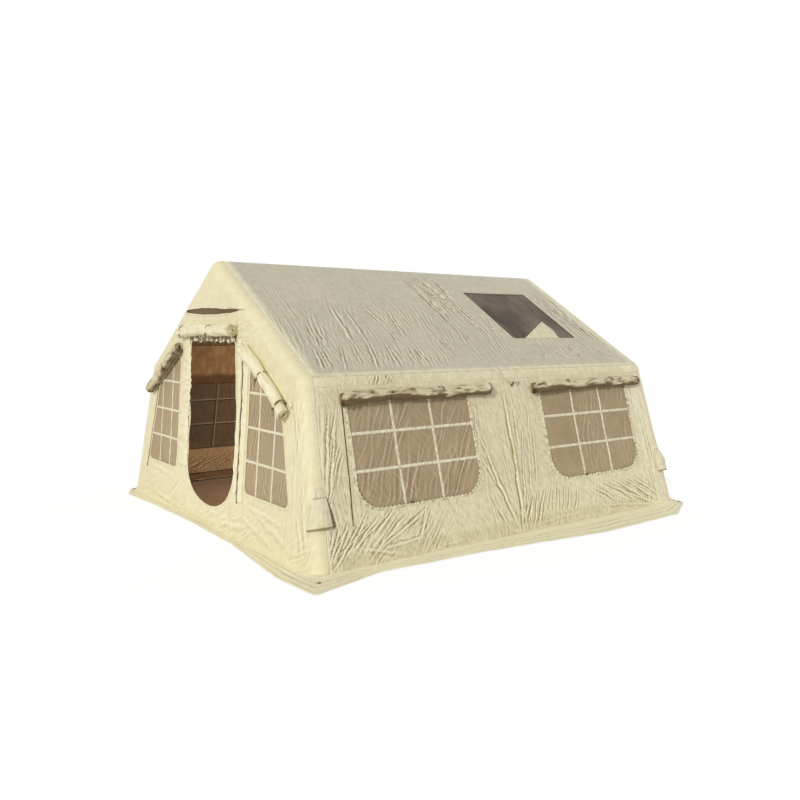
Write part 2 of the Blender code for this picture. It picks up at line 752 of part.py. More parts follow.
def make_door_rolls(end, frame, finishes):
    make_roll(
        end + "_door", DOOR_ROLL_LENGTH, DOOR_ROLL_RADIUS, DOOR_TIE_SHARES, finishes["cover"], frame,
        (DOOR_ROLL_SHIFT, DOOR_HEAD + DOOR_ROLL_ABOVE_HEAD, roll_seat(DOOR_ROLL_RADIUS)), 0, True, 1,
    )
    make_roll(
        end + "_mesh_door", DOOR_WIDTH, MESH_ROLL_RADIUS, MESH_TIE_SHARES, finishes["mesh"], frame,
        (DOOR_SHIFT, DOOR_HEAD + MESH_ROLL_ABOVE_HEAD, -CLOTH - SEAT_GAP - MESH_ROLL_RADIUS), 0, True, -1,
    )


def make_slider(end, frame, finishes):
    """The slider of the door's zip, with its pull hanging from it."""
    x = DOOR_SHIFT + DOOR_WIDTH / 2 + SLIDER_FROM_DOOR
    low = WALL_CLEARANCE
    body = (
        (x - SLIDER_WIDTH / 2, x + SLIDER_WIDTH / 2),
        (SLIDER_START, SLIDER_START + SLIDER_LENGTH),
        (low, low + SLIDER_THICKNESS),
    )
    pull = (
        (x - PULL_WIDTH / 2, x + PULL_WIDTH / 2),
        (SLIDER_START - PULL_LENGTH, SLIDER_START + SLIDER_LENGTH / 2),
        (low + SLIDER_THICKNESS / 2, low + SLIDER_THICKNESS / 2 + PULL_THICKNESS),
    )
    name = end + "_door_zip_slider"
    slider = make_object(name, boxes(name, [body]), finishes["zip"], frame)
    helper = make_helper(name + "_pull", boxes(name, [pull]), frame)
    for obj in (slider, helper):
        lean_with_gable(obj.data, crease=False)
    combine(slider, helper, "UNION")
    set_origin(slider, (x, SLIDER_START, low + gable_face(SLIDER_START)))


# Floor and skirt

def make_floor(finishes):
    half_x = GROUND_WIDTH / 2
    half_y = GROUND_LENGTH / 2
    sheet = [(-half_x, -half_y), (half_x, -half_y), (half_x, half_y), (-half_x, half_y)]
    make_object("groundsheet", slab("groundsheet", sheet, 0, FLOOR), finishes["floor"])
    pulled, pulled_out = [SKIRT_REACH * share for share in PULLED_CORNER_SHARES]
    tucked, tucked_out = [SKIRT_REACH * share for share in TUCKED_CORNER_SHARES]
    door_side = [
        (half_x * along, -half_y - SKIRT_REACH * reach) for along, reach in DOOR_SIDE_STATION_SHARES
    ]
    long_side = [
        (half_x + SKIRT_REACH * reach, half_y * along) for along, reach in LONG_SIDE_STATION_SHARES
    ]
    right_half = door_side + [(half_x + pulled, -half_y - pulled_out)]
    right_half += long_side + [(half_x + tucked, half_y + tucked_out)]
    outline = right_half + [(-x, -y) for x, y in right_half]
    ring = slab("ground_skirt", outline, 0, SKIRT_THICKNESS)
    skirt = make_object("ground_skirt", ring, finishes["skirt"])
    room = slab("room", grown(sheet, SEAT_GAP), -CUT_OVERRUN, CUT_OVERRUN)
    combine(skirt, make_helper("groundsheet_room", room), "DIFFERENCE")


# Valves

def leg_frame(name, sign):
    """A frame on a right-hand leg, with Y out of the wall and Z along wall and gable.

    With it comes the gable's outward direction, in the frame's X and Y.
    """
    foot = Vector((leg_axis_x(FLOOR_TOP), sign * leg_axis_y(FLOOR_TOP), FLOOR_TOP))
    up = Vector((-math.tan(SIDE_LEAN), -sign * math.tan(GABLE_LEAN), 1)).normalized()
    wall = Vector((math.cos(SIDE_LEAN), 0, math.sin(SIDE_LEAN)))
    gable = Vector((0, sign * math.cos(GABLE_LEAN), math.sin(GABLE_LEAN)))
    across = wall.cross(up)
    frame = bpy.data.objects.new(name, None)
    bpy.context.scene.collection.objects.link(frame)
    frame.matrix_world = Matrix.Translation(foot) @ Matrix((across, wall, up)).transposed().to_4x4()
    bpy.context.view_layer.update()
    return frame, Vector((gable.dot(across), gable.dot(wall)))


def flap_mesh(name, gable):
    """A cloth flap that wraps the leg's outer quarter and stands off it over the valve."""
    wall = Vector((0, 1))
    arc = TUBE_DEPTH + WALL_CLEARANCE
    spread = gable.angle(wall)
    along_gable = (gable * gable.dot(wall) - wall).normalized()
    along_wall = (wall * wall.dot(gable) - gable).normalized()
    total = FLAP_WING + arc * spread + FLAP_WING
    low = VALVE_HEIGHT + FLAP_ABOVE_VALVE - FLAP_HEIGHT
    rings = []
    for row in range(FLAP_ROWS + 1):
        flare = 1 + FLAP_FLARE_SHARE * (1 - row / FLAP_ROWS)
        height = low + FLAP_HEIGHT * row / FLAP_ROWS
        inner = []
        outer = []
        for column in range(FLAP_COLUMNS + 1):
            run = total * column / FLAP_COLUMNS
            share = min(max((run - FLAP_WING) / (arc * spread), 0), 1)
            out = gable * math.sin((1 - share) * spread) + wall * math.sin(share * spread)
            out /= math.sin(spread)
            spot = out * arc
            spot += along_gable * max(FLAP_WING - run, 0)
            spot += along_wall * max(run - FLAP_WING - arc * spread, 0)
            near = spot + out * FLAP_STAND * math.sin(math.pi * column / FLAP_COLUMNS) * flare
            inner.append((*near, height))
            outer.append((*(near + out * CLOTH), height))
        rings.append(inner + outer[::-1])
    return loft(name, rings)


def make_valves(finishes):
    for end, sign in ENDS.items():
        frame, gable = leg_frame(f"right_{end}_leg_frame", sign)
        middle = (gable + Vector((0, 1))).normalized()
        diagonal = Vector((*middle, 0))
        turn = diagonal.to_track_quat("Z", "Y").to_matrix().to_4x4()
        seat = Matrix.Translation((0, 0, VALVE_HEIGHT)) @ turn
        stem = f"right_{end}_valve"
        top = TUBE_RADIUS + VALVE_STAND
        body = rod(stem, VALVE_RADIUS, TUBE_RADIUS - VALVE_RADIUS, top)
        body.transform(seat)
        valve = make_object(stem + "_body", body, finishes["valve"], frame)
        combine(valve, bpy.data.objects[end + "_arch_room"], "DIFFERENCE")
        smooth(valve, math.radians(40))
        cap_low = top + SEAT_GAP
        disc = rod(stem, CAP_RADIUS, cap_low, cap_low + CAP_THICKNESS)
        cap = make_object(stem + "_cap", disc, finishes["valve"], frame)
        grip_span = (
            (-CAP_RADIUS * END_SHARE, CAP_RADIUS * END_SHARE),
            (-CAP_GRIP_WIDTH / 2, CAP_GRIP_WIDTH / 2),
            (cap_low + CAP_THICKNESS / 2, cap_low + CAP_THICKNESS + CAP_GRIP),
        )
        grip = make_helper(stem + "_grip", boxes(stem, [grip_span]), frame)
        for obj in (cap, grip):
            obj.data.transform(seat)
        combine(cap, grip, "UNION")
        set_origin(cap, Vector((0, 0, VALVE_HEIGHT)) + diagonal * cap_low)
        smooth(cap, math.radians(40))
        flap = make_object(stem + "_flap", flap_mesh(stem, gable), finishes["cover"], frame)
        hinge = diagonal * (TUBE_DEPTH + WALL_CLEARANCE + FLAP_STAND)
        set_origin(flap, hinge + Vector((0, 0, VALVE_HEIGHT + FLAP_ABOVE_VALVE)))


# Guy rings

def ring_mesh(name):
    """A D-ring: a straight bar along X and a half-oval bow below it."""
    path = [Vector((-RING_WIDTH / 2, 0, 0)), Vector((0, 0, 0)), Vector((RING_WIDTH / 2, 0, 0))]
    for step in range(1, RING_STEPS):
        angle = math.pi * step / RING_STEPS
        path.append(Vector((RING_WIDTH / 2 * math.cos(angle), -RING_DEPTH * math.sin(angle), 0)))
    rings = []
    count = len(path)
    for index, point in enumerate(path):
        arriving = (point - path[index - 1]).normalized()
        leaving = (path[(index + 1) % count] - point).normalized()
        along = (arriving + leaving).normalized()
        across = Vector((0, 0, 1)).cross(along)
        ring = []
        for side in range(RING_SIDES):
            angle = 2 * math.pi * side / RING_SIDES
            spoke = across * math.cos(angle) + Vector((0, 0, 1)) * math.sin(angle)
            ring.append(point + spoke * RING_WIRE)
        rings.append(ring)
    bm = bmesh.new()
    loops = [[bm.verts.new(point) for point in ring] for ring in rings]
    for index, lower in enumerate(loops):
        upper = loops[(index + 1) % count]
        for side in range(RING_SIDES):
            after = (side + 1) % RING_SIDES
            bm.faces.new((lower[side], lower[after], upper[after], upper[side]))
    return mesh_from(name, bm)


def make_guy_rings(frames, finishes):
    for side in SIDES:
        frame = frames[side + "_wall"]
        stem = side + "_guy"
        x = GUY_FROM_MIDDLE
        y = WALL_TOP - GUY_DROP
        axis_z = TAB_STAND / 2
        wall = bpy.data.objects[f"{side}_{end_of_bay(side, 1)}_wall"]
        tab_span = (
            (x - TAB_LENGTH / 2, x + TAB_LENGTH / 2),
            (y - TAB_HEIGHT / 2, y + TAB_HEIGHT / 2),
            (-CLOTH / 2, TAB_STAND),
        )
        combine(wall, make_helper(stem + "_tab", boxes(stem, [tab_span]), frame), "UNION")
        bore = rod(stem, RING_WIRE + RING_BORE_GAP, -TAB_LENGTH, TAB_LENGTH, RING_SIDES)
        bore.transform(Matrix.Translation((x, y, axis_z)) @ Matrix.Rotation(math.pi / 2, 4, "Y"))
        combine(wall, make_helper(stem + "_bore", bore, frame), "DIFFERENCE")
        ring = ring_mesh(stem + "_ring")
        ring.transform(Matrix.Translation((x, y, axis_z)))
        obj = make_object(stem + "_ring", ring, finishes["metal"], frame)
        set_origin(obj, (x, y, axis_z))
        smooth(obj, math.radians(60))


def make_finishes():
    return {
        "tube": finish("air_tube_cloth", (0.84, 0.78, 0.60), 0.75),
        "wall": finish("wall_cloth", (0.78, 0.70, 0.52), 0.85),
        "gable": finish("gable_cloth", (0.84, 0.77, 0.58), 0.85),
        "roof": finish("roof_cloth", (0.66, 0.61, 0.48), 0.85),
        "cover": finish("rolled_cover_cloth", (0.80, 0.73, 0.55), 0.85),
        "mesh": finish("insect_mesh", (0.42, 0.36, 0.27), 0.9),
        "pane": finish("window_mesh", (0.42, 0.34, 0.22), 0.8),
        "film": finish("skylight_film", (0.25, 0.21, 0.16), 0.2),
        "tape": finish("lattice_tape", (0.86, 0.80, 0.62), 0.8),
        "floor": finish("groundsheet_cloth", (0.20, 0.13, 0.08), 0.7),
        "skirt": finish("skirt_cloth", (0.72, 0.66, 0.48), 0.85),
        "valve": finish("valve_plastic", (0.10, 0.10, 0.10), 0.45),
        "zip": finish("zip_metal", (0.30, 0.26, 0.20), 0.4, 0.8),
        "metal": finish("ring_steel", (0.25, 0.23, 0.20), 0.35, 0.9),
    }


clear_scene()
all_finishes = make_finishes()
all_frames = make_frames()
make_air_frame(all_finishes["tube"])
make_long_walls(all_frames, all_finishes)
make_roof(all_frames, all_finishes)
make_gables(all_frames, all_finishes)
make_floor(all_finishes)
make_valves(all_finishes)
make_guy_rings(all_frames, all_finishes)
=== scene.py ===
import math

import bpy
import numpy as np
from mathutils import Matrix, Vector


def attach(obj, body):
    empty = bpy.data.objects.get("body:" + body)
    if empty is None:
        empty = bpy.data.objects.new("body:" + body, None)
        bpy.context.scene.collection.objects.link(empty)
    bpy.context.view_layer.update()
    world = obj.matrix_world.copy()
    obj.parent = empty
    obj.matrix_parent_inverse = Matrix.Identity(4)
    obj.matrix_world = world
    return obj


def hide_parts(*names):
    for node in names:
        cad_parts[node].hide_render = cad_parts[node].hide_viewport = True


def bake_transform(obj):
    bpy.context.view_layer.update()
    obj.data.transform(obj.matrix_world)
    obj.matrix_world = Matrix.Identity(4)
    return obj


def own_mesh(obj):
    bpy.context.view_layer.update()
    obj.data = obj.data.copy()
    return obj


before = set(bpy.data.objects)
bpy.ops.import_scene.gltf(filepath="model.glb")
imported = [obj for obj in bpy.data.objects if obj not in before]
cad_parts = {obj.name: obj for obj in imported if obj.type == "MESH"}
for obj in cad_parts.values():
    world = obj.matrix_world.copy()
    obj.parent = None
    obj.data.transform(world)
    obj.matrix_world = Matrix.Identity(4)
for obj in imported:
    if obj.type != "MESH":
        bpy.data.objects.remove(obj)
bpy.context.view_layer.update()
scene = bpy.context.scene


# Air frame: three arches and the beams between them, blown up hard. Each is an
# airtight bladder in a sewn sleeve of brown coated cloth, so it is round, smooth
# and a little puckered where the sleeve is drawn in.

class Field:
    """A number or colour that changes over a surface; sums on it add the nodes that work it out."""

    def __init__(self, finish, socket):
        self.finish = finish
        self.socket = socket

    def sum(self, operation, *sides):
        return self.finish.node("ShaderNodeMath", {"operation": operation}, dict(enumerate(sides)))

    def __add__(self, other):
        return self.sum("ADD", self, other)

    def __sub__(self, other):
        return self.sum("SUBTRACT", self, other)

    def __rsub__(self, other):
        return self.sum("SUBTRACT", other, self)

    def __mul__(self, other):
        return self.sum("MULTIPLY", self, other)

    def __abs__(self):
        return self.sum("ABSOLUTE", self)

    __radd__ = __add__
    __rmul__ = __mul__

    def held(self):
        """The number kept between nought and one."""
        return self.finish.node("ShaderNodeClamp", {}, {"Value": self, "Min": 0.0, "Max": 1.0})


class Finish:
    """A material in the making: one surface shader and the nodes that feed it."""

    def __init__(self, name, **surface):
        self.material = bpy.data.materials.new(name)
        self.material.use_nodes = True
        self.tree = self.material.node_tree
        self.shader = self.tree.nodes["Principled BSDF"]
        self.set({key.replace("_", " ").title(): value for key, value in surface.items()})

    def set(self, sockets):
        for key, value in sockets.items():
            if isinstance(value, Field):
                self.tree.links.new(value.socket, self.shader.inputs[key])
            else:
                self.shader.inputs[key].default_value = value

    def node(self, kind, settings=None, sockets=None, output=0):
        made = self.tree.nodes.new(kind)
        for key, value in (settings or {}).items():
            if key == "stops":
                for stop, (where, colour) in zip(made.color_ramp.elements, value):
                    stop.position, stop.color = where, colour
            else:
                setattr(made, key, value)
        for key, value in (sockets or {}).items():
            if isinstance(value, Field):
                self.tree.links.new(value.socket, made.inputs[key])
            else:
                made.inputs[key].default_value = value
        return Field(self, made.outputs[output])

    @property
    def place(self):
        return self.node("ShaderNodeTexCoord", {}, {}, "Object")

    @property
    def flat(self):
        return self.node("ShaderNodeUVMap", {"uv_map": "cloth"})

    def attribute(self, name):
        return self.node("ShaderNodeAttribute", {"attribute_name": name}, {}, "Fac")

    def mixed(self, share, first, second):
        """Two colours mixed, first where share is nought and second where it is one."""
        first, second = (colour(*each) if isinstance(each, tuple) else each for each in (first, second))
        return self.node("ShaderNodeMix", {"data_type": "RGBA"}, {0: share, 6: first, 7: second}, 2)

    def noise(self, size, detail=2.0, rough=0.5, where=None):
        return self.node("ShaderNodeTexNoise", {}, {
            "Vector": where or self.place, "Scale": 1 / size, "Detail": detail, "Roughness": rough})

    def run(self, turn, wide, long):
        """The flat pattern turned and drawn out, for marks that run one way."""
        return self.node("ShaderNodeMapping", {}, {
            "Vector": self.flat, "Rotation": (0, 0, turn), "Scale": (wide, long, 1)})

    def ribs(self, turn, wide, long):
        """Thin crests that run one way over the flat pattern."""
        return (1 - abs(self.noise(1.0, where=self.run(turn, wide, long)) * 2 - 1) * 2.4).held()

    def weave(self, thread):
        """Threads that cross at an even pitch over the flat pattern."""
        runs = [self.node("ShaderNodeSeparateXYZ", {}, {"Vector": self.flat}, k) * (2 * math.pi / thread)
                for k in (0, 1)]
        warp, weft = (self.node("ShaderNodeMath", {"operation": "SINE"}, {0: run}) for run in runs)
        return warp * weft

    def bump(self, strength, distance, height, **under):
        return self.node("ShaderNodeBump", {}, {"Strength": strength, "Distance": distance, "Height": height, **under})


def colour(red, green, blue):
    """A colour written as it shows, 0 to 255, as the shader wants it."""
    shown = [part / 255 for part in (red, green, blue)]
    return tuple(((part + 0.055) / 1.055) ** 2.4 if part > 0.04 else part / 12.92 for part in shown) + (1.0,)


def cloth_finish(name, body, soil_and_fold_shade, crest_highlight, patch, rough=0.62, crinkle=0.5, ribs=(0.012, 0.16), thread=0.0016,
                 rim=None, soil=0.18):
    """Coated cloth: a fine even weave and faint patches, with painted shade in the hollows of its folds and a painted
    highlight along their crests.
    """
    finish = Finish(name)
    mottle, crease, crumple = finish.noise(0.055, 3.0), finish.attribute("crease"), finish.attribute("crumple")
    tone = finish.mixed((finish.noise(0.62, 3.0) * 2.6 - 0.8).held(), body, patch)
    if rim:
        tone = finish.mixed(finish.attribute("rim"), tone, rim)
    # random patches of soil in the fold colour, then painted shade in the hollows of folds and a painted highlight on
    # their crests
    tone = finish.mixed(((mottle - 0.5) * 0.55 + soil).held(), tone, soil_and_fold_shade)
    tone = finish.mixed((crease * 1.1).held(), tone, soil_and_fold_shade)
    tone = finish.mixed((crease * -1.0).held() * 0.85, tone, crest_highlight)
    wide, long = 1 / ribs[0], 1 / ribs[1]
    lift = finish.ribs(0.09, wide, long) * crumple + finish.ribs(-0.62, wide / 1.7, long / 0.7) * crumple * 0.6
    bump = finish.bump(crinkle, 0.004, lift + finish.noise(0.03, 3.0) * 0.35)
    finish.set({"Base Color": tone, "Roughness": mottle * 0.16 + (rough - 0.08),
                "Normal": finish.bump(0.12, 0.0004, finish.weave(thread), Normal=bump),
                "Sheen Weight": 0.12, "Sheen Roughness": 0.5, "Specular IOR Level": 0.32})
    return finish


rng = np.random.default_rng(41)
gradients = rng.random((256, 256)) * 2 * math.pi


def noise(a, b, shift=0):
    """Smooth noise over the plane, from about -0.7 to 0.7."""
    low_a, low_b = np.floor(a).astype(int), np.floor(b).astype(int)
    part_a, part_b = a - low_a, b - low_b

    def corner(i, j):
        angle = gradients[(low_a + i + shift * 37) % 256, (low_b + j + shift * 91) % 256]
        return np.cos(angle) * (part_a - i) + np.sin(angle) * (part_b - j)

    ease_a = part_a ** 3 * (part_a * (part_a * 6 - 15) + 10)
    ease_b = part_b ** 3 * (part_b * (part_b * 6 - 15) + 10)
    low = corner(0, 0) + (corner(1, 0) - corner(0, 0)) * ease_a
    high = corner(0, 1) + (corner(1, 1) - corner(0, 1)) * ease_a
    return low + (high - low) * ease_b


def step_up(value, start, end):
    share = np.clip((value - start) / (end - start), 0, 1)
    return share * share * (3 - 2 * share)


def make_piece(name, points, faces, finish, flat=None, body="tent", slot=None, smooth=True, **marks):
    """A mesh with its finish, its flat pattern as a UV map, and marks kept at each point."""
    mesh = bpy.data.meshes.new(name)
    mesh.from_pydata(np.asarray(points, float).tolist(), [], [tuple(map(int, face)) for face in faces])
    obj = bpy.data.objects.new(name, mesh)
    scene.collection.objects.link(obj)
    corners = np.empty(len(mesh.loops), int)
    mesh.loops.foreach_get("vertex_index", corners)
    if flat is not None:
        layer = mesh.uv_layers.new(name="cloth")
        layer.data.foreach_set("uv", np.asarray(flat, np.float32)[corners].ravel())
    for mark, values in marks.items():
        kept = mesh.attributes.new(mark, "FLOAT", "POINT")
        kept.data.foreach_set("value", np.ravel(values).astype(np.float32) * np.ones(len(mesh.vertices), np.float32))
    mesh.polygons.foreach_set("use_smooth", [smooth] * len(mesh.polygons))
    for each in finish if isinstance(finish, tuple) else (finish,):
        mesh.materials.append(each.material)
    if body:
        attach(obj, body)
    return obj


def set_plain(obj):
    """Works the modifiers into the mesh."""
    bpy.context.view_layer.update()
    worked = obj.evaluated_get(bpy.context.evaluated_depsgraph_get())
    plain = bpy.data.meshes.new_from_object(worked, preserve_all_data_layers=True,
                                            depsgraph=bpy.context.evaluated_depsgraph_get())
    obj.modifiers.clear()
    obj.data = plain


def thicken(obj, thickness, lining=False):
    """Gives a sheet its thickness, inwards, with the lining as its inner face."""
    wall = obj.modifiers.new("thickness", "SOLIDIFY")
    wall.thickness = thickness
    wall.offset = -1
    wall.use_quality_normals = True
    wall.material_offset = 1 if lining else 0
    set_plain(obj)


def worked_out(name, points, edges, tree, sizes, **ways):
    """Runs a tree with the named sizes on a path, and leaves a plain mesh."""
    mesh = bpy.data.meshes.new(name)
    mesh.from_pydata([tuple(point) for point in points], edges, [])
    for way, values in ways.items():
        mesh.attributes.new(way, "FLOAT_VECTOR", "POINT").data.foreach_set("vector",
                np.array(values, np.float32).ravel())
    obj = bpy.data.objects.new(name, mesh)
    scene.collection.objects.link(obj)
    work = obj.modifiers.new("work", "NODES")
    work.node_group = tree
    for item in tree.interface.items_tree:
        if item.in_out == "INPUT" and item.name in sizes:
            work[item.identifier] = sizes[item.name]
    set_plain(obj)
    return obj


tube_radius = 0.088
tube_reach = 0.0933  # from a tube's middle to the outside of the cloth over it
wall_lean = math.radians(15.26)
roof_pitch = math.radians(31.66)
eave_x, eave_z, ridge_z = 1.420, 1.260, 2.135
arch_y = 1.8117
half_width = 1.86
gable_slope = 0.07198


def gable_lean(height):
    """How far out a gable stands at this height, over its place at the eaves."""
    fall = 1.32 - height
    return gable_slope * (fall + np.sqrt(fall * fall + 0.0009)) / 2


def half_turn(turned):
    """What a point is multiplied by for the copy that is turned half round."""
    return np.array((-1, -1, 1) if turned else (1, 1, 1))


class Work:
    """A geometry tree in the making, with its named inputs."""

    def __init__(self, name, out, **sizes):
        self.tree = bpy.data.node_groups.new(name, "GeometryNodeTree")
        for size, kind in sizes.items():
            self.tree.interface.new_socket(size.replace("_", " "), in_out="INPUT", socket_type="NodeSocket" + kind)
        self.tree.interface.new_socket(out, in_out="OUTPUT", socket_type="NodeSocketGeometry")
        self.given, self.made = self.node("NodeGroupInput"), self.node("NodeGroupOutput")

    def node(self, kind, settings=None, **sockets):
        made = self.tree.nodes.new(kind)
        for key, value in (settings or {}).items():
            setattr(made, key, value)
        for key, value in sockets.items():
            made.inputs[key.replace("_", " ")].default_value = value
        return made

    def link(self, *links):
        for start, out, end, into in links:
            self.tree.links.new(start.outputs[out], end.inputs[into])

    def chain(self, *nodes):
        """Links each node's first output to the next node's first input."""
        for start, end in zip(nodes, nodes[1:]):
            self.tree.links.new(start.outputs[0], end.inputs[0])


def tube_tree():
    """A path swept into a round tube, puckered across at even places."""
    work = Work("inflated_tube", "Tube", Path="Geometry", Radius="Float", Step="Float", Pucker_depth="Float",
                Pucker_size="Float", Sleeve="Material")
    curve = work.node("GeometryNodeMeshToCurve")
    even = work.node("GeometryNodeResampleCurve", {"mode": "LENGTH"})
    ring = work.node("GeometryNodeCurvePrimitiveCircle", Resolution=28)
    sweep = work.node("GeometryNodeCurveToMesh", Fill_Caps=True)
    pucker = work.node("ShaderNodeTexNoise", Detail=2)
    scale = work.node("ShaderNodeMath", {"operation": "DIVIDE"})
    scale.inputs[0].default_value = 1
    depth = work.node("ShaderNodeMath", {"operation": "MULTIPLY"})
    turn = work.node("ShaderNodeVectorMath", {"operation": "SCALE"})
    outward = work.node("GeometryNodeInputNormal")
    moved = work.node("GeometryNodeSetPosition")
    shade = work.node("GeometryNodeSetShadeSmooth")
    real = work.node("GeometryNodeRealizeInstances")
    finish = work.node("GeometryNodeSetMaterial")
    work.chain(work.given, curve, even, sweep, moved, shade, real, finish, work.made)
    work.link((work.given, "Step", even, "Length"), (work.given, "Radius", ring, "Radius"),
              (ring, "Curve", sweep, "Profile Curve"),
              (work.given, "Pucker size", scale, 1), (scale, 0, pucker, "Scale"), (pucker, 0, depth, 0),
              (work.given, "Pucker depth", depth, 1), (outward, 0, turn, 0), (depth, 0, turn, "Scale"),
              (turn, 0, moved, "Offset"), (work.given, "Sleeve", finish, "Material"))
    return work.tree


sleeve = cloth_finish("air_tube_sleeve", (140, 108, 72), (104, 76, 48), (166, 134, 96), (132, 100, 66))
tubes = tube_tree()


def air_tube(name, path):
    """One bladder in its sleeve, along a path through rounded corners."""
    obj = worked_out(name, path, [(i, i + 1) for i in range(len(path) - 1)], tubes, {
        "Radius": tube_radius - 0.003, "Step": 0.03, "Pucker depth": -0.004, "Pucker size": 0.09,
        "Sleeve": sleeve.material})
    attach(obj, "tent")
    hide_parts(name)


def round_corner(before, here, after, radius):
    """The centre of a rounded corner, half its angle, and the directions to the arc's two ends."""
    back, ahead = (before - here).normalized(), (after - here).normalized()
    half = back.angle(ahead) / 2
    centre = here + (back + ahead).normalized() * radius / math.sin(half)
    start, end = here + back * radius / math.tan(half) - centre, here + ahead * radius / math.tan(half) - centre
    return centre, half, start.normalized(), end.normalized()


def through_corners(corners, radius=0.16, steps=7):
    """A path with its corners rounded."""
    corners = [Vector(corner) for corner in corners]
    path = [corners[0]]
    for before, here, after in zip(corners, corners[1:], corners[2:]):
        centre, _, start, end = round_corner(before, here, after, radius)
        path += [centre + start.slerp(end, i / steps) * radius for i in range(steps + 1)]
    return path + [corners[-1]]


foot_z = 0.03
foot_x = half_width - 0.0967 - foot_z * math.tan(wall_lean)
for arch_name, sign in (("front", -1), ("middle", 0), ("rear", 1)):
    foot_y = sign * (arch_y + gable_lean(foot_z))
    top_y = sign * arch_y
    air_tube(arch_name + "_air_arch", through_corners([
        (-foot_x, foot_y, foot_z), (-eave_x, top_y, eave_z), (0, top_y, ridge_z), (eave_x, top_y, eave_z),
        (foot_x, foot_y, foot_z)]))
for end_name, sign in (("front", -1), ("rear", 1)):
    span = [(sign * 0.095), sign * (arch_y - 0.095)]
    air_tube("ridge_air_beam_" + end_name, [(0, y, ridge_z) for y in span])
    for side_name, side in (("right", 1), ("left", -1)):
        air_tube(side_name + "_eave_air_beam_" + end_name, [(side * eave_x, y, eave_z) for y in span])


# Outer cloth: coated polyester sewn from panels and stretched over the air frame,
# so it is round where a tube is under it and creased where it is pulled. Every
# panel is cut flat, laid over the tubes and given the folds that its place has.

wall_straight = 1.331   # up the wall to where the cloth starts to bend over the eave tube
eave_arc = tube_reach * (math.pi / 2 - roof_pitch - wall_lean)
roof_straight = 1.6685
ridge_arc = tube_reach * roof_pitch
eave_seam = wall_straight + 0.66 * eave_arc
ridge_line = wall_straight + eave_arc + roof_straight + ridge_arc
corner_seam = tube_reach * math.pi / 2   # the gable cloth goes this far round its edge, to the walls and roof


def wall_height(v):
    """How high the middle of a tube under the wall's cloth is, up to the eave."""
    return np.minimum(v, wall_straight) * math.cos(wall_lean) - tube_reach * math.sin(wall_lean)


def long_side(u, v):
    """Right-hand wall and roof: u along the tent, v up the wall, over the eave and up to the ridge."""
    turn = np.clip((v - wall_straight) / tube_reach, 0, math.pi / 2 - roof_pitch - wall_lean)
    over = np.clip((v - wall_straight - eave_arc - roof_straight) / tube_reach, 0, roof_pitch)
    lean = wall_lean + turn + over
    low = np.minimum(v, wall_straight)
    high = np.clip(v - wall_straight - eave_arc, 0, roof_straight)
    hub_x = half_width - low * math.sin(wall_lean) - tube_reach * math.cos(wall_lean) - high * math.cos(roof_pitch)
    hub_z = wall_height(v) + high * math.sin(roof_pitch)
    side = arch_y + gable_lean(hub_z)
    past = np.maximum(np.abs(u) - side, 0) / tube_reach
    facing = np.sign(u)
    normal = np.stack([np.cos(past) * np.cos(lean), facing * np.sin(past), np.cos(past) * np.sin(lean)], -1)
    hub = np.stack([hub_x, facing * np.minimum(np.abs(u), side), hub_z], -1)
    return hub + normal * tube_reach, normal


def end_side(x, z):
    """Front gable, and the cloth round its edge: x across, z up."""
    rim = np.array([(half_width - 0.0967 + 0.5 * math.tan(wall_lean), -0.5), (eave_x, eave_z), (0, ridge_z),
                    (-eave_x, eave_z),
                    (-half_width + 0.0967 - 0.5 * math.tan(wall_lean), -0.5)])
    spot = np.stack([x, z], -1)
    nearest, gap = spot.copy(), np.full(x.shape, -1e9)
    best = np.full(x.shape, 1e9)
    for start, end in zip(rim, np.roll(rim, -1, 0)):
        along = (end - start) / np.linalg.norm(end - start)
        outward = np.array([along[1], -along[0]]) * -1
        outward = -outward if outward @ (start - (0, 1)) < 0 else outward
        gap = np.maximum(gap, (spot - start) @ outward)
        share = np.clip((spot - start) @ along, 0, np.linalg.norm(end - start))
        close = start + share[..., None] * along
        far = np.linalg.norm(spot - close, axis=-1)
        nearest = np.where((far < best)[..., None], close, nearest)
        best = np.minimum(best, far)
    outside = gap > 1e-9
    hub = np.where(outside[..., None], nearest, spot)
    away = np.where(outside, best, 0)
    way = (spot - hub) / np.maximum(away, 1e-9)[..., None]
    past = away / tube_reach
    normal = np.stack([np.sin(past) * way[..., 0], -np.cos(past), np.sin(past) * way[..., 1]], -1)
    middle = np.stack([hub[..., 0], -(arch_y + gable_lean(hub[..., 1])), hub[..., 1]], -1)
    return middle + normal * tube_reach, normal


def end_room(x, z):
    """How far a point of the gable's flat pattern is inside its seam with walls and roof."""
    lift = np.stack([x, z], -1)
    rim = [((half_width - 0.0967, 0.0), (eave_x, eave_z)), ((eave_x, eave_z), (0, ridge_z)),
           ((0, ridge_z), (-eave_x, eave_z)), ((-eave_x, eave_z), (-half_width + 0.0967, 0.0))]
    inner = np.full(x.shape, 1e9)
    outer = np.full(x.shape, 1e9)
    for start, end in rim:
        start, end = np.array(start), np.array(end)
        long = np.linalg.norm(end - start)
        along = (end - start) / long
        outward = np.array([along[1], -along[0]])
        outward = -outward if outward @ (start - (0, 1)) < 0 else outward
        inner = np.minimum(inner, -((lift - start) @ outward))
        share = (lift - start) @ along
        share = np.where(start[1] == 0, np.minimum(share, long),
                         np.where(end[1] == 0, np.maximum(share, 0), np.clip(share, 0, long)))
        outer = np.minimum(outer, np.linalg.norm(lift - start - share[..., None] * along, axis=-1))
    return corner_seam + np.where(inner > 0, outer, -outer)


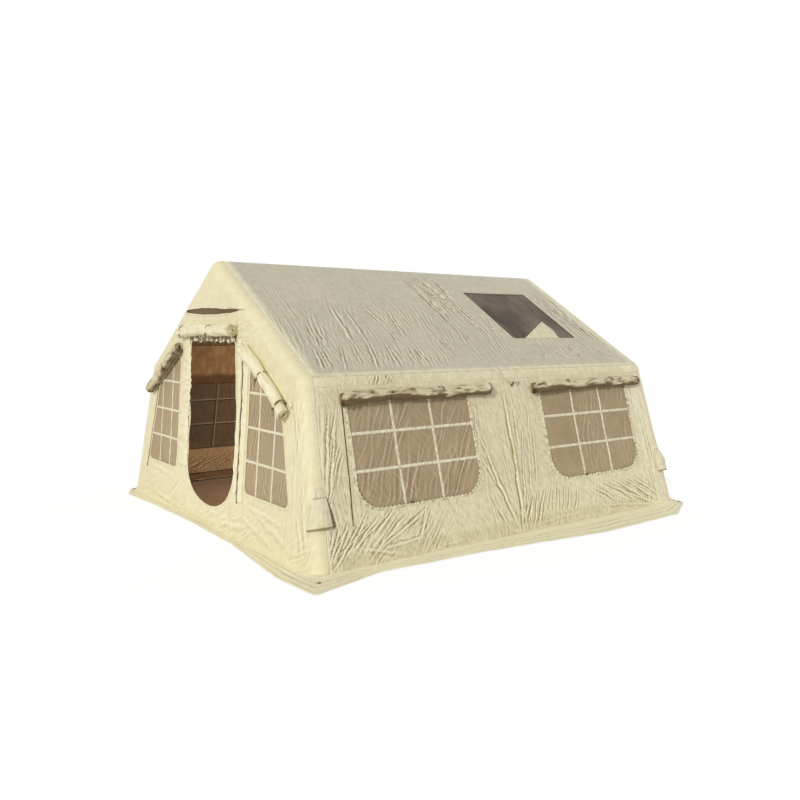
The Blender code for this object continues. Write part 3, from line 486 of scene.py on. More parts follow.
def rounded_outline(corners, radii, step=0.02):
    """A closed outline through the corners, each rounded to its radius."""
    path = []
    count = len(corners)
    for i, radius in enumerate(radii):
        centre, half, start, end = round_corner(*(Vector(corners[(i + k) % count]) for k in (-1, 0, 1)), radius)
        steps = max(2, int(radius * (math.pi - 2 * half) / step) + 1)
        for k in range(steps + 1):
            share = k / steps
            spoke = (start * math.sin((1 - share) * (math.pi - 2 * half)) +
                     end * math.sin(share * (math.pi - 2 * half))) / math.sin(math.pi - 2 * half)
            path.append(tuple(centre + spoke * radius))
    return np.array(path)


def inside_outline(u, v, outline):
    """How far a point is inside an outline, below nought outside."""
    spot = np.stack([u, v], -1)
    best = np.full(u.shape, 1e9)
    crossings = np.zeros(u.shape, int)
    for start, end in zip(outline, np.roll(outline, -1, 0)):
        long = np.linalg.norm(end - start)
        if long < 1e-9:
            continue
        along = (end - start) / long
        share = np.clip((spot - start) @ along, 0, long)
        best = np.minimum(best, np.linalg.norm(spot - start - share[..., None] * along, axis=-1))
        straddles = (start[1] > v) != (end[1] > v)
        at = start[0] + (v - start[1]) * (end[0] - start[0]) / (end[1] - start[1] if end[1] != start[1] else 1e-9)
        crossings += straddles & (u < at)
    return np.where(crossings % 2 == 1, best, -best)


def round_outline(u, v, outline):
    """How far a point is outside an outline, and how far along it the nearest point is."""
    spot = np.stack([u, v], -1)
    best, run, gone = np.full(u.shape, 1e9), np.zeros(u.shape), 0.0
    for start, end in zip(outline, np.roll(outline, -1, 0)):
        long = max(np.linalg.norm(end - start), 1e-9)
        share = np.clip((spot - start) @ (end - start) / long, 0, long)
        far = np.linalg.norm(spot - start - share[..., None] * (end - start) / long, axis=-1)
        run = np.where(far < best, gone + share, run)
        best = np.minimum(best, far)
        gone += long
    return best, run


def gathers(u, v, outline, pitch, reach, shift):
    """Short folds standing square to an outline, where its hem draws the cloth in."""
    far, run = round_outline(u, v, outline)
    band = np.clip(1 - far / (reach * np.clip(0.7 + 1.1 * noise(run / (pitch * 2.3), 0 * run, shift + 8), 0.25, 1.3)),
                   0, 1)
    crest = np.clip(1 - np.abs(noise(run / pitch, far / (reach * 3), shift)) * 2.4, 0, 1) ** 1.3
    return crest * band * np.clip(0.5 + 1.6 * noise(run / (pitch * 6), 0 * run, shift + 5), 0, 1)


def evenly(start, end, step, through=()):
    """Grid lines about a step apart, with one at each of the given places."""
    stops = sorted({start, end, *(place for place in through if start < place < end)})
    lines = []
    for low, high in zip(stops, stops[1:]):
        lines += list(np.linspace(low, high, max(1, round((high - low) / step)), endpoint=False))
    return np.array(lines + [end])


def cut_cloth(us, vs, room):
    """A flat net over the grid lines, cut off where room falls below nought."""
    net_u, net_v = np.meshgrid(us, vs)
    flat = np.stack([net_u.ravel(), net_v.ravel()], -1)
    depth = room(flat[:, 0], flat[:, 1])
    near = np.abs(depth) < 0.3 * (us[1] - us[0])
    probe = 1e-4
    slope = np.stack([(room(flat[near, 0] + probe, flat[near, 1]) - depth[near]) / probe,
                      (room(flat[near, 0], flat[near, 1] + probe) - depth[near]) / probe], -1)
    flat[near] -= slope * (depth[near] / np.maximum((slope ** 2).sum(-1), 0.25))[:, None]
    depth[near] = 0
    wide = len(us)
    spots, faces, cuts = list(map(tuple, flat)), [], {}
    first = (np.arange(len(vs) - 1)[:, None] * wide + np.arange(wide - 1)[None]).ravel()
    rings = np.stack([first, first + 1, first + 1 + wide, first + wide], -1)
    held = (depth[rings] >= 0).sum(-1)
    faces += rings[held == 4].tolist()
    for ring in rings[(held > 0) & (held < 4)].tolist():
        shape = []
        for here, after in zip(ring, ring[1:] + ring[:1]):
            if depth[here] >= 0:
                shape.append(here)
            if (depth[here] >= 0) != (depth[after] >= 0) and 0 not in (depth[here], depth[after]):
                key = (min(here, after), max(here, after))
                if key not in cuts:
                    share = depth[key[0]] / (depth[key[0]] - depth[key[1]])
                    spots.append(tuple(flat[key[0]] + (flat[key[1]] - flat[key[0]]) * share))
                    cuts[key] = len(spots) - 1
                shape.append(cuts[key])
        if len(shape) > 2:
            faces.append(shape)
    used = sorted({corner for face in faces for corner in face})
    place = {old: new for new, old in enumerate(used)}
    return np.array([spots[i] for i in used]), [[place[i] for i in face] for face in faces]


def folds(u, v, rows, width, height):
    """Creases along measured lines: a crest, with a hollow beside it, dying away at both ends.

    Each row has its line's two ends in centimetres, and its width and height in tenths of the usual ones.
    """
    lift = np.zeros(u.shape)
    bend = 0.011 * noise(u / 0.13, v / 0.13, 33) + 0.004 * noise(u / 0.045, v / 0.045, 34)
    broken = np.clip(0.80 + 0.9 * noise(u / 0.09, v / 0.09, 35), 0.25, 1.3)
    for row in rows:
        u0, v0, u1, v1 = (end / 100 for end in row[:4])
        wide, tall = width * (row[4] / 10), height * (row[5] / 10)
        long = math.hypot(u1 - u0, v1 - v0)
        du, dv = (u1 - u0) / long, (v1 - v0) / long
        share = ((u - u0) * du + (v - v0) * dv) / long
        off = (u - u0) * dv - (v - v0) * du + 0.006 * np.sin(share * 3 + u0 * 9) * long + bend
        ends = np.sin(math.pi * np.clip(share, 0, 1)) ** 0.75
        spread = wide * (0.75 + 0.5 * np.clip(share, 0, 1))
        lift += tall * ends * (np.exp(-(off / spread) ** 2)
                               - 0.55 * np.exp(-((off - 1.7 * spread) / (1.1 * spread)) ** 2))
    return lift * broken


def pleats(u, v, turn, across, along, shift, sharp=3.0):
    """Many thin folds side by side, leaning turn degrees from upright, broken up along their length."""
    c, s = math.cos(math.radians(turn)), math.sin(math.radians(turn))
    a, b = u * c - v * s, u * s + v * c
    a = a + 0.5 * across * noise(b / along * 1.9, a / (across * 7), shift + 3)
    crest = np.clip(1 - np.abs(noise(a / across, b / along, shift)) * sharp, 0, 1) ** 1.4
    return crest * np.clip(0.55 + 1.5 * noise(a / (across * 5), b / (along * 1.4), shift + 11), 0, 1)


window_low, window_high, window_near, window_far = 0.40, 1.201, 0.42, 1.572
side_windows = {
    end: rounded_outline([(sign * window_near, window_low), (sign * window_far, window_low),
                          (sign * window_far, window_high), (sign * window_near, window_high)],
                          [0.19, 0.19, 0.05, 0.05])
    for end, sign in (("front", -1), ("rear", 1))}
leg_folds = [
    (-182, 115, -193, 57, 13, 7), (-177, 117, -188, 54, 11, 13), (-171, 115, -183, 56, 10, 11),
    (-166, 113, -179, 58, 9, 8), (-166, 80, -175, 56, 8, 7), (-169, 87, -181, 54, 9, 11),
    (-190, 100, -195, 35, 18, 6), (-175, 119, -187, 56, 8, 9), (-167, 105, -180, 57, 7, 11),
    (-164, 118, -180, 68, 7, 8), (-167, 85, -185, 42, 8, 10), (-176, 59, -186, 34, 7, 8), (-168, 67, -167, 35, 6, 6)]
foot_fan = [
    (-180, 32, -193, 5, 7, 10), (-175, 33, -190, 5, 8, 15), (-168, 34, -187, 6, 9, 13), (-161, 30, -184, 4, 9, 12),
    (-154, 33, -176, 9, 10, 11), (-143, 34, -171, 12, 11, 11), (-126, 40, -151, 19, 12, 11),
    (-118, 33, -150, 9, 12, 9), (-99, 36, -109, 12, 13, 11), (-100, 34, -129, 19, 11, 10), (-130, 40, -140, 31, 8, 8),
    (-186, 28, -195, 6, 7, 7), (-167, 32, -190, 12, 6, 9), (-148, 32, -185, 10, 6, 9), (-141, 31, -170, 14, 6, 8),
    (-123, 35, -145, 15, 6, 7), (-101, 32, -149, 10, 7, 8), (-97, 35, -109, 15, 7, 8), (-149, 42, -162, 26, 6, 6)]
seam_folds = [
    (-36, 84, -8, 5, 12, 15), (-40, 70, -16, 30, 11, 9), (-36, 40, -18, 5, 10, 10), (-36, 109, -37, 74, 9, 7),
    (-40, 60, -52, 45, 8, 9), (-30, 62, -20, 34, 8, 6), (-2, 118, -1, 55, 12, 17), (0, 80, -4, 6, 12, 17),
    (6, 112, 6, 66, 9, 9), (13, 92, -1, 6, 8, 12), (7, 35, -2, 6, 7, 10), (13, 33, 4, 6, 7, 11),
    (8, 31, -2, 6, 8, 13), (12, 30, 3, 9, 8, 11), (19, 34, 9, 5, 8, 14), (28, 35, 14, 5, 10, 15),
    (14, 86, 6, 33, 8, 8), (26, 85, 19, 36, 8, 8), (18, 79, 11, 31, 7, 8), (23, 110, 21, 70, 9, 5)]
rear_fan = [
    (60, 34, 51, 13, 8, 8), (69, 32, 60, 11, 8, 8), (37, 35, 29, 15, 8, 9), (45, 38, 38, 14, 8, 8),
    (53, 36, 45, 12, 8, 8), (114, 34, 163, 6, 11, 13), (127, 34, 175, 5, 11, 13), (143, 31, 176, 12, 10, 10),
    (102, 32, 143, 11, 10, 10), (109, 27, 169, 4, 8, 7), (88, 28, 115, 14, 10, 7), (48, 52, 39, 45, 6, 7)]
hem_folds = [
    (-168, 16, -120, 3, 13, 5), (-102, 14, -146, 11, 9, 5), (85, 11, 185, 3, 13, 4), (-91, 5, -66, 6, 10, 5),
    (5, 5, 75, 10, 13, 3)]


def wall_relief(u, v):
    """How far the long walls' cloth stands off its smooth shape, and how crumpled it is."""
    pane = np.maximum(inside_outline(u, v, side_windows["front"]), inside_outline(u, v, side_windows["rear"]))
    clear = 1 - step_up(pane, -0.045, 0.0)
    lift = folds(u, v, leg_folds + foot_fan + seam_folds + rear_fan + hem_folds, 0.0092, 0.0046)
    low = 1 - step_up(v, 0.18, 0.46)
    lift += 0.0022 * pleats(u, v, 18, 0.045, 0.26, 1) * low * step_up(u, -0.2, 0.3)
    lift += 0.0012 * pleats(u, v, -58, 0.045, 0.34, 4) * low * step_up(u, 0.7, 1.1)
    lift += 0.0026 * pleats(u, v, 42, 0.045, 0.30, 16) * low * (1 - step_up(u, -1.0, -0.5))
    upright = np.exp(-((u + 0.02) / 0.34) ** 2) + np.exp(-((np.abs(u) - 1.80) / 0.20) ** 2)
    lift += 0.0032 * pleats(u, v, -4, 0.040, 0.50, 7) * np.clip(upright, 0, 1) * (1 - step_up(v, 1.02, 1.22))
    gathered = sum(gathers(u, v, outline, 0.028, 0.10, 21 + i) for i, outline in enumerate(side_windows.values()))
    puckers = np.clip(1 - np.abs(pane + 0.03) / 0.06, 0, 1)
    lift += 0.0042 * gathered
    ruffle = step_up(v, 1.245, 1.262) * (1 - step_up(v, 1.36, 1.376)) \
        * (0.35 + 0.65 * step_up(u, -1.62, -1.35) * (1 - step_up(u, -0.95, -0.6)))
    lift = lift * clear
    inner = step_up(pane, 0.0, 0.05)
    lift += inner * (0.0050 * pleats(u, v, 24, 0.055, 0.40, 9) * (1 - step_up(u, -0.6, 0.4))
                     + 0.0032 * pleats(u, v, -40, 0.060, 0.25, 13) * (0.4 + 0.6 * step_up(-np.abs(u + 1.2), -0.2, 0)) +
                     0.0036 * pleats(u, v, 8, 0.065, 0.30, 15) * step_up(u, 0.4, 0.9)
                     + 0.004 * noise(u / 0.12, v / 0.12, 18))
    # long soft waves, drawn flat where a tube or a seam holds the cloth
    lift += 0.009 * noise(u / 0.55, v / 0.60, 2) * np.sin(math.pi * np.clip(v / 1.25, 0, 1))
    lift += 0.0016 * noise(u / 0.05 + v / 0.09, v / 0.07, 19) * clear
    lift += 0.0045 * noise(u / 0.16, v / 0.20, 6) * (1 - 0.7 * step_up(pane, -0.02, 0.02)) \
        * (1 - step_up(v, 1.15, 1.27))
    lift *= step_up(-v, -(wall_straight + 0.01), -(wall_straight - 0.05)) * 0.92 + 0.08 * (v < wall_straight)
    lift += 0.0046 * ruffle * pleats(u, v, 14, 0.030, 0.11, 5, 2.2) \
        * np.clip(0.4 + 1.6 * noise(u / 0.35, 0 * u, 51), 0, 1)
    lift *= 1 - step_up(np.abs(u) - arch_y - gable_lean(v), -0.05, -0.004)
    lift *= step_up(v, 0.0, 0.05) * 0.8 + 0.2
    lift -= 0.0030 * step_up(np.abs(u) - arch_y - gable_lean(v), -0.012, -0.001)
    crumple = 0.6 + 0.6 * low + 0.4 * np.clip(upright, 0, 1) + 0.8 * puckers + 0.9 * ruffle
    crumple *= 1 - 0.55 * step_up(pane, -0.01, 0.02)
    return lift, np.clip(crumple, 0, 1.4)


clear_of_ground = 0.0036


def flat_area(flat, faces):
    total = 0.0
    for face in faces:
        ring = flat[face]
        after = np.roll(ring, -1, 0)
        total += abs(float((ring[:, 0] * after[:, 1] - ring[:, 1] * after[:, 0]).sum())) / 2
    return total


def declare(flat, faces):
    """Works out a sheet's area from its own cut, and keeps nothing of it."""
    wide, long = np.ptp(flat, axis=0)
    round(min(flat_area(flat, faces), wide * long), 4)


def lay(name, cut, side, finishes, stands_for=None, lift=0.0, thickness=0.002, rim=None):
    """Lays cut cloth over the tubes with its folds, and gives it thickness and lining."""
    (flat, faces), (place, relief, turned) = cut, side
    u, v = flat[:, 0], flat[:, 1]
    points, normals = place(u, v)
    height, crumple = relief(u, v)
    probe = 0.011   # how far apart the cloth's bend is felt
    bend = sum(relief(u + du, v + dv)[0] for du, dv in ((probe, 0), (-probe, 0), (0, probe), (0, -probe))) - 4 * height
    points = points + normals * (height + lift)[:, None]
    if turned:
        points = points * (-1, -1, 1)
    points[:, 2] = np.maximum(points[:, 2], clear_of_ground)
    marks = {"rim": rim(u, v)} if rim else {}
    # the cloth's bend, kept as a mark that paints shade into the hollows of its folds and a highlight onto their
    # crests
    obj = make_piece(name, points, faces, finishes, flat, None, crease=np.clip(bend / 0.0042, -1, 1), crumple=crumple,
                     **marks)
    thicken(obj, thickness, lining=len(finishes) > 1)
    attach(obj, "tent")
    if stands_for:
        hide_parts(stands_for)
    declare(flat, faces)


def both_sides(end_name):
    """The right-hand piece near an end, and the left-hand one that is its copy turned half round."""
    return ("right", end_name, False), ("left", {"front": "rear", "rear": "front"}[end_name], True)


lining = cloth_finish("brown_lining", (156, 117, 72), (98, 70, 42), (206, 170, 124), (146, 110, 66),
                      rim=(204, 174, 130))
rim_colour = (252, 245, 209)
wall_cloth = cloth_finish("wall_cloth", (235, 226, 190), (158, 138, 94), (246, 239, 210), (228, 219, 183), crinkle=0.6,
                          rim=rim_colour)


def wall_rim(u, v):
    """Where the long walls are paler: at the legs, most beyond the far window, and low down."""
    low = step_up(v, 0.10, 0.14) * (1 - step_up(v, 0.34, 0.46))
    return np.clip(0.45 * step_up(np.abs(u) - arch_y - gable_lean(v), -0.14, -0.01) + step_up(u, 1.56, 1.66)
                   + 0.5 * low + 0.4 * step_up(v, 1.25, 1.29), 0, 1)


for end_name, low, high in (("front", -2.1, 0.0), ("rear", 0.0, 2.1)):
    def wall_room(u, v, sign=-1 if end_name == "front" else 1, pane=side_windows[end_name]):
        side = arch_y + gable_lean(wall_height(v))
        return np.minimum(side + 0.008 - sign * u, -inside_outline(u, v, pane))
    lines = [-1.592, -1.572, -0.42, 0.0, 0.42, 1.572, 1.592]
    for (side_name, end, turned), net in zip(both_sides(end_name), (0.0092, 0.0140)):
        wall_cut = cut_cloth(evenly(low, high, net, lines),
                             evenly(0.004, eave_seam, net, (window_low, window_high, 1.262, 1.30)), wall_room)
        wall = f"{side_name}_{end}_wall"
        lay(wall + "_cloth", wall_cut, (long_side, wall_relief, turned), (wall_cloth, lining),
            wall, rim=wall_rim)


# Gable walls: one cream panel at each end, cut out for the door, the vent slit
# under the ridge and two windows. The cloth runs round the leg and rake tubes.

door_x, door_half, door_sill, door_head = 0.03, 0.48, 0.16, 1.570
door_corners = [
    (-0.45, 1.570), (-0.458, 1.508), (-0.503, 1.238), (-0.510, 1.116), (-0.460, 0.990), (-0.434, 0.862),
    (-0.465, 0.706), (-0.445, 0.608),
    (-0.460, 0.426), (-0.360, 0.268), (-0.130, 0.172), (0.160, 0.160), (0.380, 0.250), (0.450, 0.331), (0.515, 0.470),
    (0.528, 0.642),
    (0.512, 0.772), (0.514, 0.900), (0.502, 1.030), (0.468, 1.156), (0.466, 1.230), (0.446, 1.379), (0.452, 1.523),
    (0.450, 1.570)]


def cut_corners(outline, times=2):
    """The same closed outline with its corners cut off again and again, so that it runs smooth."""
    outline = np.array(outline, float)
    for _ in range(times):
        after = np.roll(outline, -1, 0)
        outline = np.stack([outline * 0.75 + after * 0.25, outline * 0.25 + after * 0.75], 1).reshape(-1, 2)
    return outline


door_outline = cut_corners(door_corners)
vent_z = 1.808
vent_top = [(-0.640, 0.0), (-0.56, 0.014), (-0.41, 0.029), (-0.25, 0.031), (-0.08, 0.030), (0.12, 0.022),
            (0.35, 0.012), (0.52, 0.006), (0.605, 0.0)]
vent_under = [(0.605, 0.0), (0.45, -0.013), (0.342, -0.024), (0.105, -0.032), (-0.189, -0.030), (-0.412, -0.017),
              (-0.56, -0.007), (-0.640, 0.0)]
vent_outline = np.array([(x, vent_z + rise) for x, rise in vent_top + vent_under[1:-1]])
gable_corners = (0.72, 0.385), (1.435, 0.385), (1.230, 1.136), (0.72, 1.4505)
gable_windows = {hand: rounded_outline([(sign * x, z) for x, z in gable_corners], [0.05] * 4)
                 for hand, sign in (("right", 1), ("left", -1))}
gable_folds = [
    (158, 117, 151, 58, 16, 5), (167, 104, 169, 45, 15, 6), (147, 90, 153, 20, 13, 5), (172, 109, 178, 60, 14, 6),
    (154, 40, 168, 5, 13, 8), (47, 30, 41, 2, 6, 9), (26, 7, 78, 14, 14, 7), (71, 30, 140, 26, 13, 5),
    (-149, 35, -65, 29, 14, 5), (-69, 88, -62, 30, 8, 8), (80, 30, 156, 10, 16, 7), (60, 22, 130, 6, 15, 6),
    (-140, 10, -50, 4, 15, 7), (-60, 28, -90, 5, 12, 6), (-158, 90, -166, 20, 14, 6), (160, 60, 172, 10, 13, 7),
    (140, 122, 156, 75, 10, 5)]


def gable_relief(x, z):
    """Folds of the gable cloth: nearly smooth, a few soft ones by the legs, under the windows and beside the door."""
    pane = np.maximum(inside_outline(x, z, gable_windows["left"]), inside_outline(x, z, gable_windows["right"]))
    doorway = inside_outline(x, z, door_outline)
    lift = folds(x, z, gable_folds, 0.016, 0.0070)
    low = 1 - step_up(z, 0.10, 0.42)
    lift += 0.0022 * pleats(x, z, 68, 0.055, 0.40, 3) * low
    lift += 0.0024 * pleats(x, z, 5, 0.050, 0.5, 8) * step_up(np.abs(x), 1.25, 1.5)
    puckers = np.clip(1 - np.abs(pane + 0.02) / 0.045, 0, 1)
    lift += 0.0022 * sum(gathers(x, z, outline, 0.03, 0.07, 23 + i)
                         for i, outline in enumerate(gable_windows.values()))
    beside = np.clip(1 - np.abs(doorway + 0.045) / 0.06, 0, 1) * (1 - step_up(z, 1.5, 1.6))
    lift += 0.0060 * beside * noise(x / 0.30, z / 0.085, 27)
    head = step_up(z, 1.55, 1.62) * (1 - step_up(z, 1.70, 1.78))
    lift += 0.0022 * pleats(x, z, 80, 0.05, 0.35, 14) * head
    inner = step_up(pane, 0.0, 0.05)
    lift += inner * (0.0030 * pleats(x, z, 12, 0.045, 0.5, 17) + 0.0020 * pleats(x, z, -30, 0.06, 0.3, 19))
    lift += 0.008 * noise(x / 0.7, z / 0.7, 12) * (1 - np.clip(np.abs(x) / 1.7, 0, 1) ** 4) \
        * (1 - 0.8 * head * step_up(-np.abs(x + 0.05), -0.72, -0.6))
    room = end_room(x, z)
    lift *= step_up(room, 0.02, 0.17)
    lift *= step_up(z, 0.0, 0.05) * 0.8 + 0.2
    lift *= 1 - 0.9 * np.exp(-((x - 0.585) / 0.045) ** 2) * (1 - step_up(z, 1.55, 1.60)) * step_up(z, 0.2, 0.28)
    crumple = 0.18 + 0.5 * low + 0.6 * puckers + 0.7 * beside + 0.3 * head
    return lift, np.clip(crumple * (1 - 0.5 * step_up(pane, -0.01, 0.02)), 0, 1.4)


gable_cloth = cloth_finish("gable_cloth", (238, 229, 191), (194, 176, 130), (249, 243, 216), (232, 223, 185), 0.6,
                           0.35)


def gable_room(x, z):
    room = end_room(x, z)
    for hole in (door_outline, vent_outline, *gable_windows.values()):
        room = np.minimum(room, -inside_outline(x, z, hole))
    return room


gable_cut = cut_cloth(
    evenly(-1.92, 1.92, 0.0139, [door_x - door_half, door_x + door_half, -0.72, 0.72, 0.0]),
    evenly(0.004, 2.30, 0.0139, [door_sill, door_head, 0.385]), gable_room)
for end_name in ("front", "rear"):
    lay(end_name + "_gable_cloth", gable_cut, (end_side, gable_relief, end_name == "rear"), (gable_cloth, lining),
         end_name + "_gable_wall")


# Roof: two halves to a slope, sewn at the middle seam, of the same cloth with a
# little grey painted in as shade. The right-hand rear half has a window of smoke-tinted film.

roof_low = wall_straight + eave_arc + 1.726   # the roof's length coordinate at the sharp ridge
light_near, light_far, light_start, light_end = 0.42, 1.27, 0.57, 1.42
light_outline = rounded_outline([(light_start, roof_low - light_far), (light_end, roof_low - light_far),
                                 (light_end, roof_low - light_near), (light_start, roof_low - light_near)], [0.02] * 4)


roof_folds = [
    (0, 3, 0, 136, 10, 15), (4.5, 2, 5, 110, 8, 11), (8, 2, 14, 85, 8, 12), (12, 2, 20, 100, 8, 11),
    (16, 2, 24, 80, 8, 12), (21, 2, 28, 108, 9, 12), (27, 2, 33, 70, 7, 8), (34, 2, 37, 69, 8, 9),
    (32, 20, 30, 124, 10, 10), (46, 94, 40, 128, 8, 8), (24, 92, 26, 115, 8, 8), (-114, 73, -124, 132, 15, 9),
    (-103, 81, -110, 134, 13, 7), (-80, 72, -76, 107, 13, 8), (-60, 88, -66, 123, 10, 9), (-49, 86, -53, 113, 7, 8),
    (-150, 104, -156, 137, 8, 8), (-144, 110, -148, 137, 10, 8), (-163, 141, -168, 170, 10, 10),
    (-156, 137, -161, 169, 10, 10), (-137, 138, -150, 170, 8, 8), (-110, 134, -121, 170, 11, 10),
    (-94, 135, -100, 169, 12, 10), (-77, 143, -80, 170, 8, 8), (-66, 135, -70, 169, 11, 10),
    (-34, 123, -27, 155, 8, 8), (-75, 111, -78, 133, 8, 9), (-126, 134, -131, 161, 8, 7), (90, 140, 97, 170, 8, 8),
    (72, 150, 68, 170, 8, 7), (115, 135, 118, 164, 8, 8), (149, 143, 160, 164, 8, 8), (150, 30, 152, 120, 8, 9),
    (156, 40, 159, 100, 8, 10), (162, 30, 163, 130, 9, 12), (167, 50, 168, 140, 9, 12), (171, 40, 171, 130, 9, 12)]


def roof_relief(u, v):
    """Folds of the roof cloth: smooth by the ridge, and long thin folds running down the slope below it."""
    down = roof_low - v
    pane = inside_outline(u, v, light_outline)
    by_rake = step_up(u, 1.25, 1.65) + 0.3 * step_up(-u, 1.25, 1.65)
    lower = step_up(down, 0.35, 0.95)
    patchy = np.clip(0.55 + 1.6 * noise(u / 0.42, v / 0.5, 35), 0, 1)
    lift = 0.0040 * pleats(u, v, 13, 0.042, 0.42, 31, 2.6) * lower * patchy
    lift += 0.0030 * pleats(u, v, 5, 0.030, 0.50, 33, 2.6) * lower * (0.3 + 0.7 * (1 - patchy))
    lift += 0.0016 * pleats(u, v, -10, 0.032, 0.30, 36, 2.6) * step_up(down, 0.8, 1.3) * patchy
    lift += 0.0055 * pleats(u, v, 0.5, 0.034, 1.3, 41, 2.6) * by_rake * step_up(down, 0.10, 0.5)
    lift += folds(u, down, roof_folds, 0.0100, 0.0078)
    lift *= 1 - 0.75 * step_up(pane, -0.03, 0.0)
    lift -= 0.0016 * np.exp(-(u / 0.010) ** 2)
    lift += 0.009 * noise(u / 0.8, v / 0.8, 44) * step_up(down, 0.05, 0.3)
    lift *= 1 - step_up(down, 1.60, 1.72)
    lift *= step_up(down, 0.02, 0.10)
    lift *= 1 - step_up(np.abs(u), arch_y - 0.06, arch_y - 0.004)
    lift -= 0.0030 * step_up(np.abs(u), arch_y - 0.012, arch_y - 0.001)
    crumple = 0.10 + 0.75 * lower + 0.5 * by_rake
    return lift, np.clip(crumple * (1 - 0.6 * step_up(pane, -0.02, 0.0)), 0, 1.3)


# the roof's colours are greyer than the walls' as painted shade for slopes that take less light
roof_cloth = cloth_finish("roof_cloth", (213, 206, 180), (132, 118, 86), (246, 240, 212), (203, 197, 174), 0.55, 0.4,
                          (0.011, 0.30), rim=rim_colour)


def roof_rim(u, v):
    """How close a point of the roof is to a rake or an eave, where it pales to the gable's cream."""
    return np.maximum(step_up(np.abs(u), 1.715, arch_y), 1 - step_up(v, eave_seam, eave_seam + 0.05))


def roof_room(u, v, sign, pane):
    room = arch_y + 0.008 - sign * u
    return room if pane is None else np.minimum(room, -inside_outline(u, v, pane))


for end_name, low, high, sign in (("front", -1.83, 0.0, -1), ("rear", 0.0, 1.83, 1)):
    for (side_name, end, turned), net in zip(both_sides(end_name), (0.0107, 0.0172)):
        pane = light_outline if (side_name, end_name) == ("right", "rear") else None
        roof_cut = cut_cloth(evenly(low, high, net, (light_start, light_end, -light_start, -light_end)),
                             evenly(eave_seam, ridge_line, net, (roof_low - light_far, roof_low - light_near)),
                             lambda u, v: roof_room(u, v, sign, pane))
        roof = f"{side_name}_{end}_roof"
        lay(roof + "_cloth", roof_cut, (long_side, roof_relief, turned), (roof_cloth, lining),
            roof, rim=roof_rim)

film = Finish("skylight_film", Alpha=0.85)
# the paler streaks in the film's colour are painted sheen; the same streaks make it rougher
sheen_streaks = film.noise(1.0, 3.0, 0.6, film.run(0.5, 40, 3)) * 0.35 + film.noise(0.45) * 0.65
film.set({"Base Color": film.mixed((sheen_streaks * 5.0 - 2.1).held(), (64, 53, 36), (130, 113, 96)),
          "Roughness": sheen_streaks * 0.3 + 0.3, "Specular IOR Level": 0.2})
film_cut = cut_cloth(evenly(light_start - 0.012, light_end + 0.012, 0.02),
                     evenly(roof_low - light_far - 0.012, roof_low - light_near + 0.012, 0.02),
                     lambda u, v: np.full(u.shape, 1.0))
right_roof = long_side, roof_relief, False
lay("skylight_film_pane", film_cut, right_roof, (film,),
    "skylight_pane", -0.0028, 0.001)
# a corner of the skylight's cream cover, left over the film
shade_foot = roof_low - light_far + 0.004
shade_outline = np.array([(0.72, shade_foot), (1.19, shade_foot), (1.235, roof_low - 1.12), (1.22, roof_low - 0.96)])
shade_cut = cut_cloth(evenly(0.70, 1.30, 0.012), evenly(roof_low - light_far, roof_low - 0.94, 0.012),
                      lambda u, v: inside_outline(u, v, shade_outline))
lay("skylight_shade_corner", shade_cut, right_roof, (wall_cloth, lining),
    None, -0.0012, 0.001)


# Windows: brown mesh panes behind the cut-outs, with a lattice of cream tapes sewn
# over them and a narrow hem round each. Mesh and tapes follow the wall's folds.

window_mesh = Finish("window_mesh")
mesh_fold_shading = window_mesh.attribute("crease")
mesh_tone = window_mesh.mixed((window_mesh.noise(0.30, 3.0) * 2.2 - 0.6).held(), (178, 160, 127), (166, 145, 114))
# painted shade in the hollows of the mesh's folds, and a painted highlight on their crests
mesh_tone = window_mesh.mixed((mesh_fold_shading * 0.9).held(), mesh_tone, (122, 102, 74))
mesh_tone = window_mesh.mixed((mesh_fold_shading * -0.9).held(), mesh_tone, (212, 196, 164))
mesh_tone = window_mesh.mixed((window_mesh.weave(0.0021) * 0.5 + 0.25).held() * 0.28, mesh_tone, (130, 112, 84))
mesh_rib = window_mesh.ribs(-0.30, 70, 6) * window_mesh.attribute("crumple")
window_mesh.set({"Base Color": mesh_tone, "Roughness": 0.62, "Specular IOR Level": 0.2,
                 "Normal": window_mesh.bump(0.5, 0.004, mesh_rib)})

inner_tape = cloth_finish("inner_window_tape", (126, 108, 82), (100, 84, 60), (146, 128, 100), (116, 98, 72))
pane_back = cloth_finish("pane_back", (98, 77, 50), (70, 53, 33), (124, 100, 70), (88, 69, 45), 0.7)
tape_cloth = cloth_finish("lattice_tape", (238, 229, 200), (196, 180, 142), (250, 245, 224), (230, 220, 190), 0.7, 0.4,
                          (0.006, 0.01), 0.0024)


def worn_finish(name, first, second, size, detail=2.0, spread=1.0, low=0.0, rough=None, **surface):
    """A hard or plain material in two tones that come and go over it, rougher in one of them."""
    finish = Finish(name, **surface)
    wear = finish.noise(size, detail)
    finish.set({"Base Color": finish.mixed((wear * spread + low).held(), first, second)})
    if rough:
        finish.set({"Roughness": wear * rough[0] + rough[1]})
    return finish


thread_finish = worn_finish("sewing_thread", (226, 214, 176), (204, 190, 150), 0.02, Roughness=0.8)
seam_lines = []   # rows of stitches, each a run of points with the cloth's outward direction


def paced(path, step, closed=False):
    """The same path with points a step apart."""
    path = np.asarray(path, float)
    if closed:
        path = np.vstack([path, path[:1]])
    gone = np.r_[0, np.cumsum(np.linalg.norm(np.diff(path, axis=0), axis=1))]
    count = max(2, int(round(gone[-1] / step)) + 1)
    marks = np.linspace(0, gone[-1], count)
    out = np.stack([np.interp(marks, gone, path[:, k]) for k in range(path.shape[1])], -1)
    return out[:-1] if closed else out


def sideways(path, closed=False):
    if closed:
        ahead = np.roll(path, -1, 0) - np.roll(path, 1, 0)
    else:
        ahead = np.gradient(path, axis=0)
    ahead /= np.maximum(np.linalg.norm(ahead, axis=1), 1e-9)[:, None]
    return np.stack([ahead[:, 1], -ahead[:, 0]], -1)


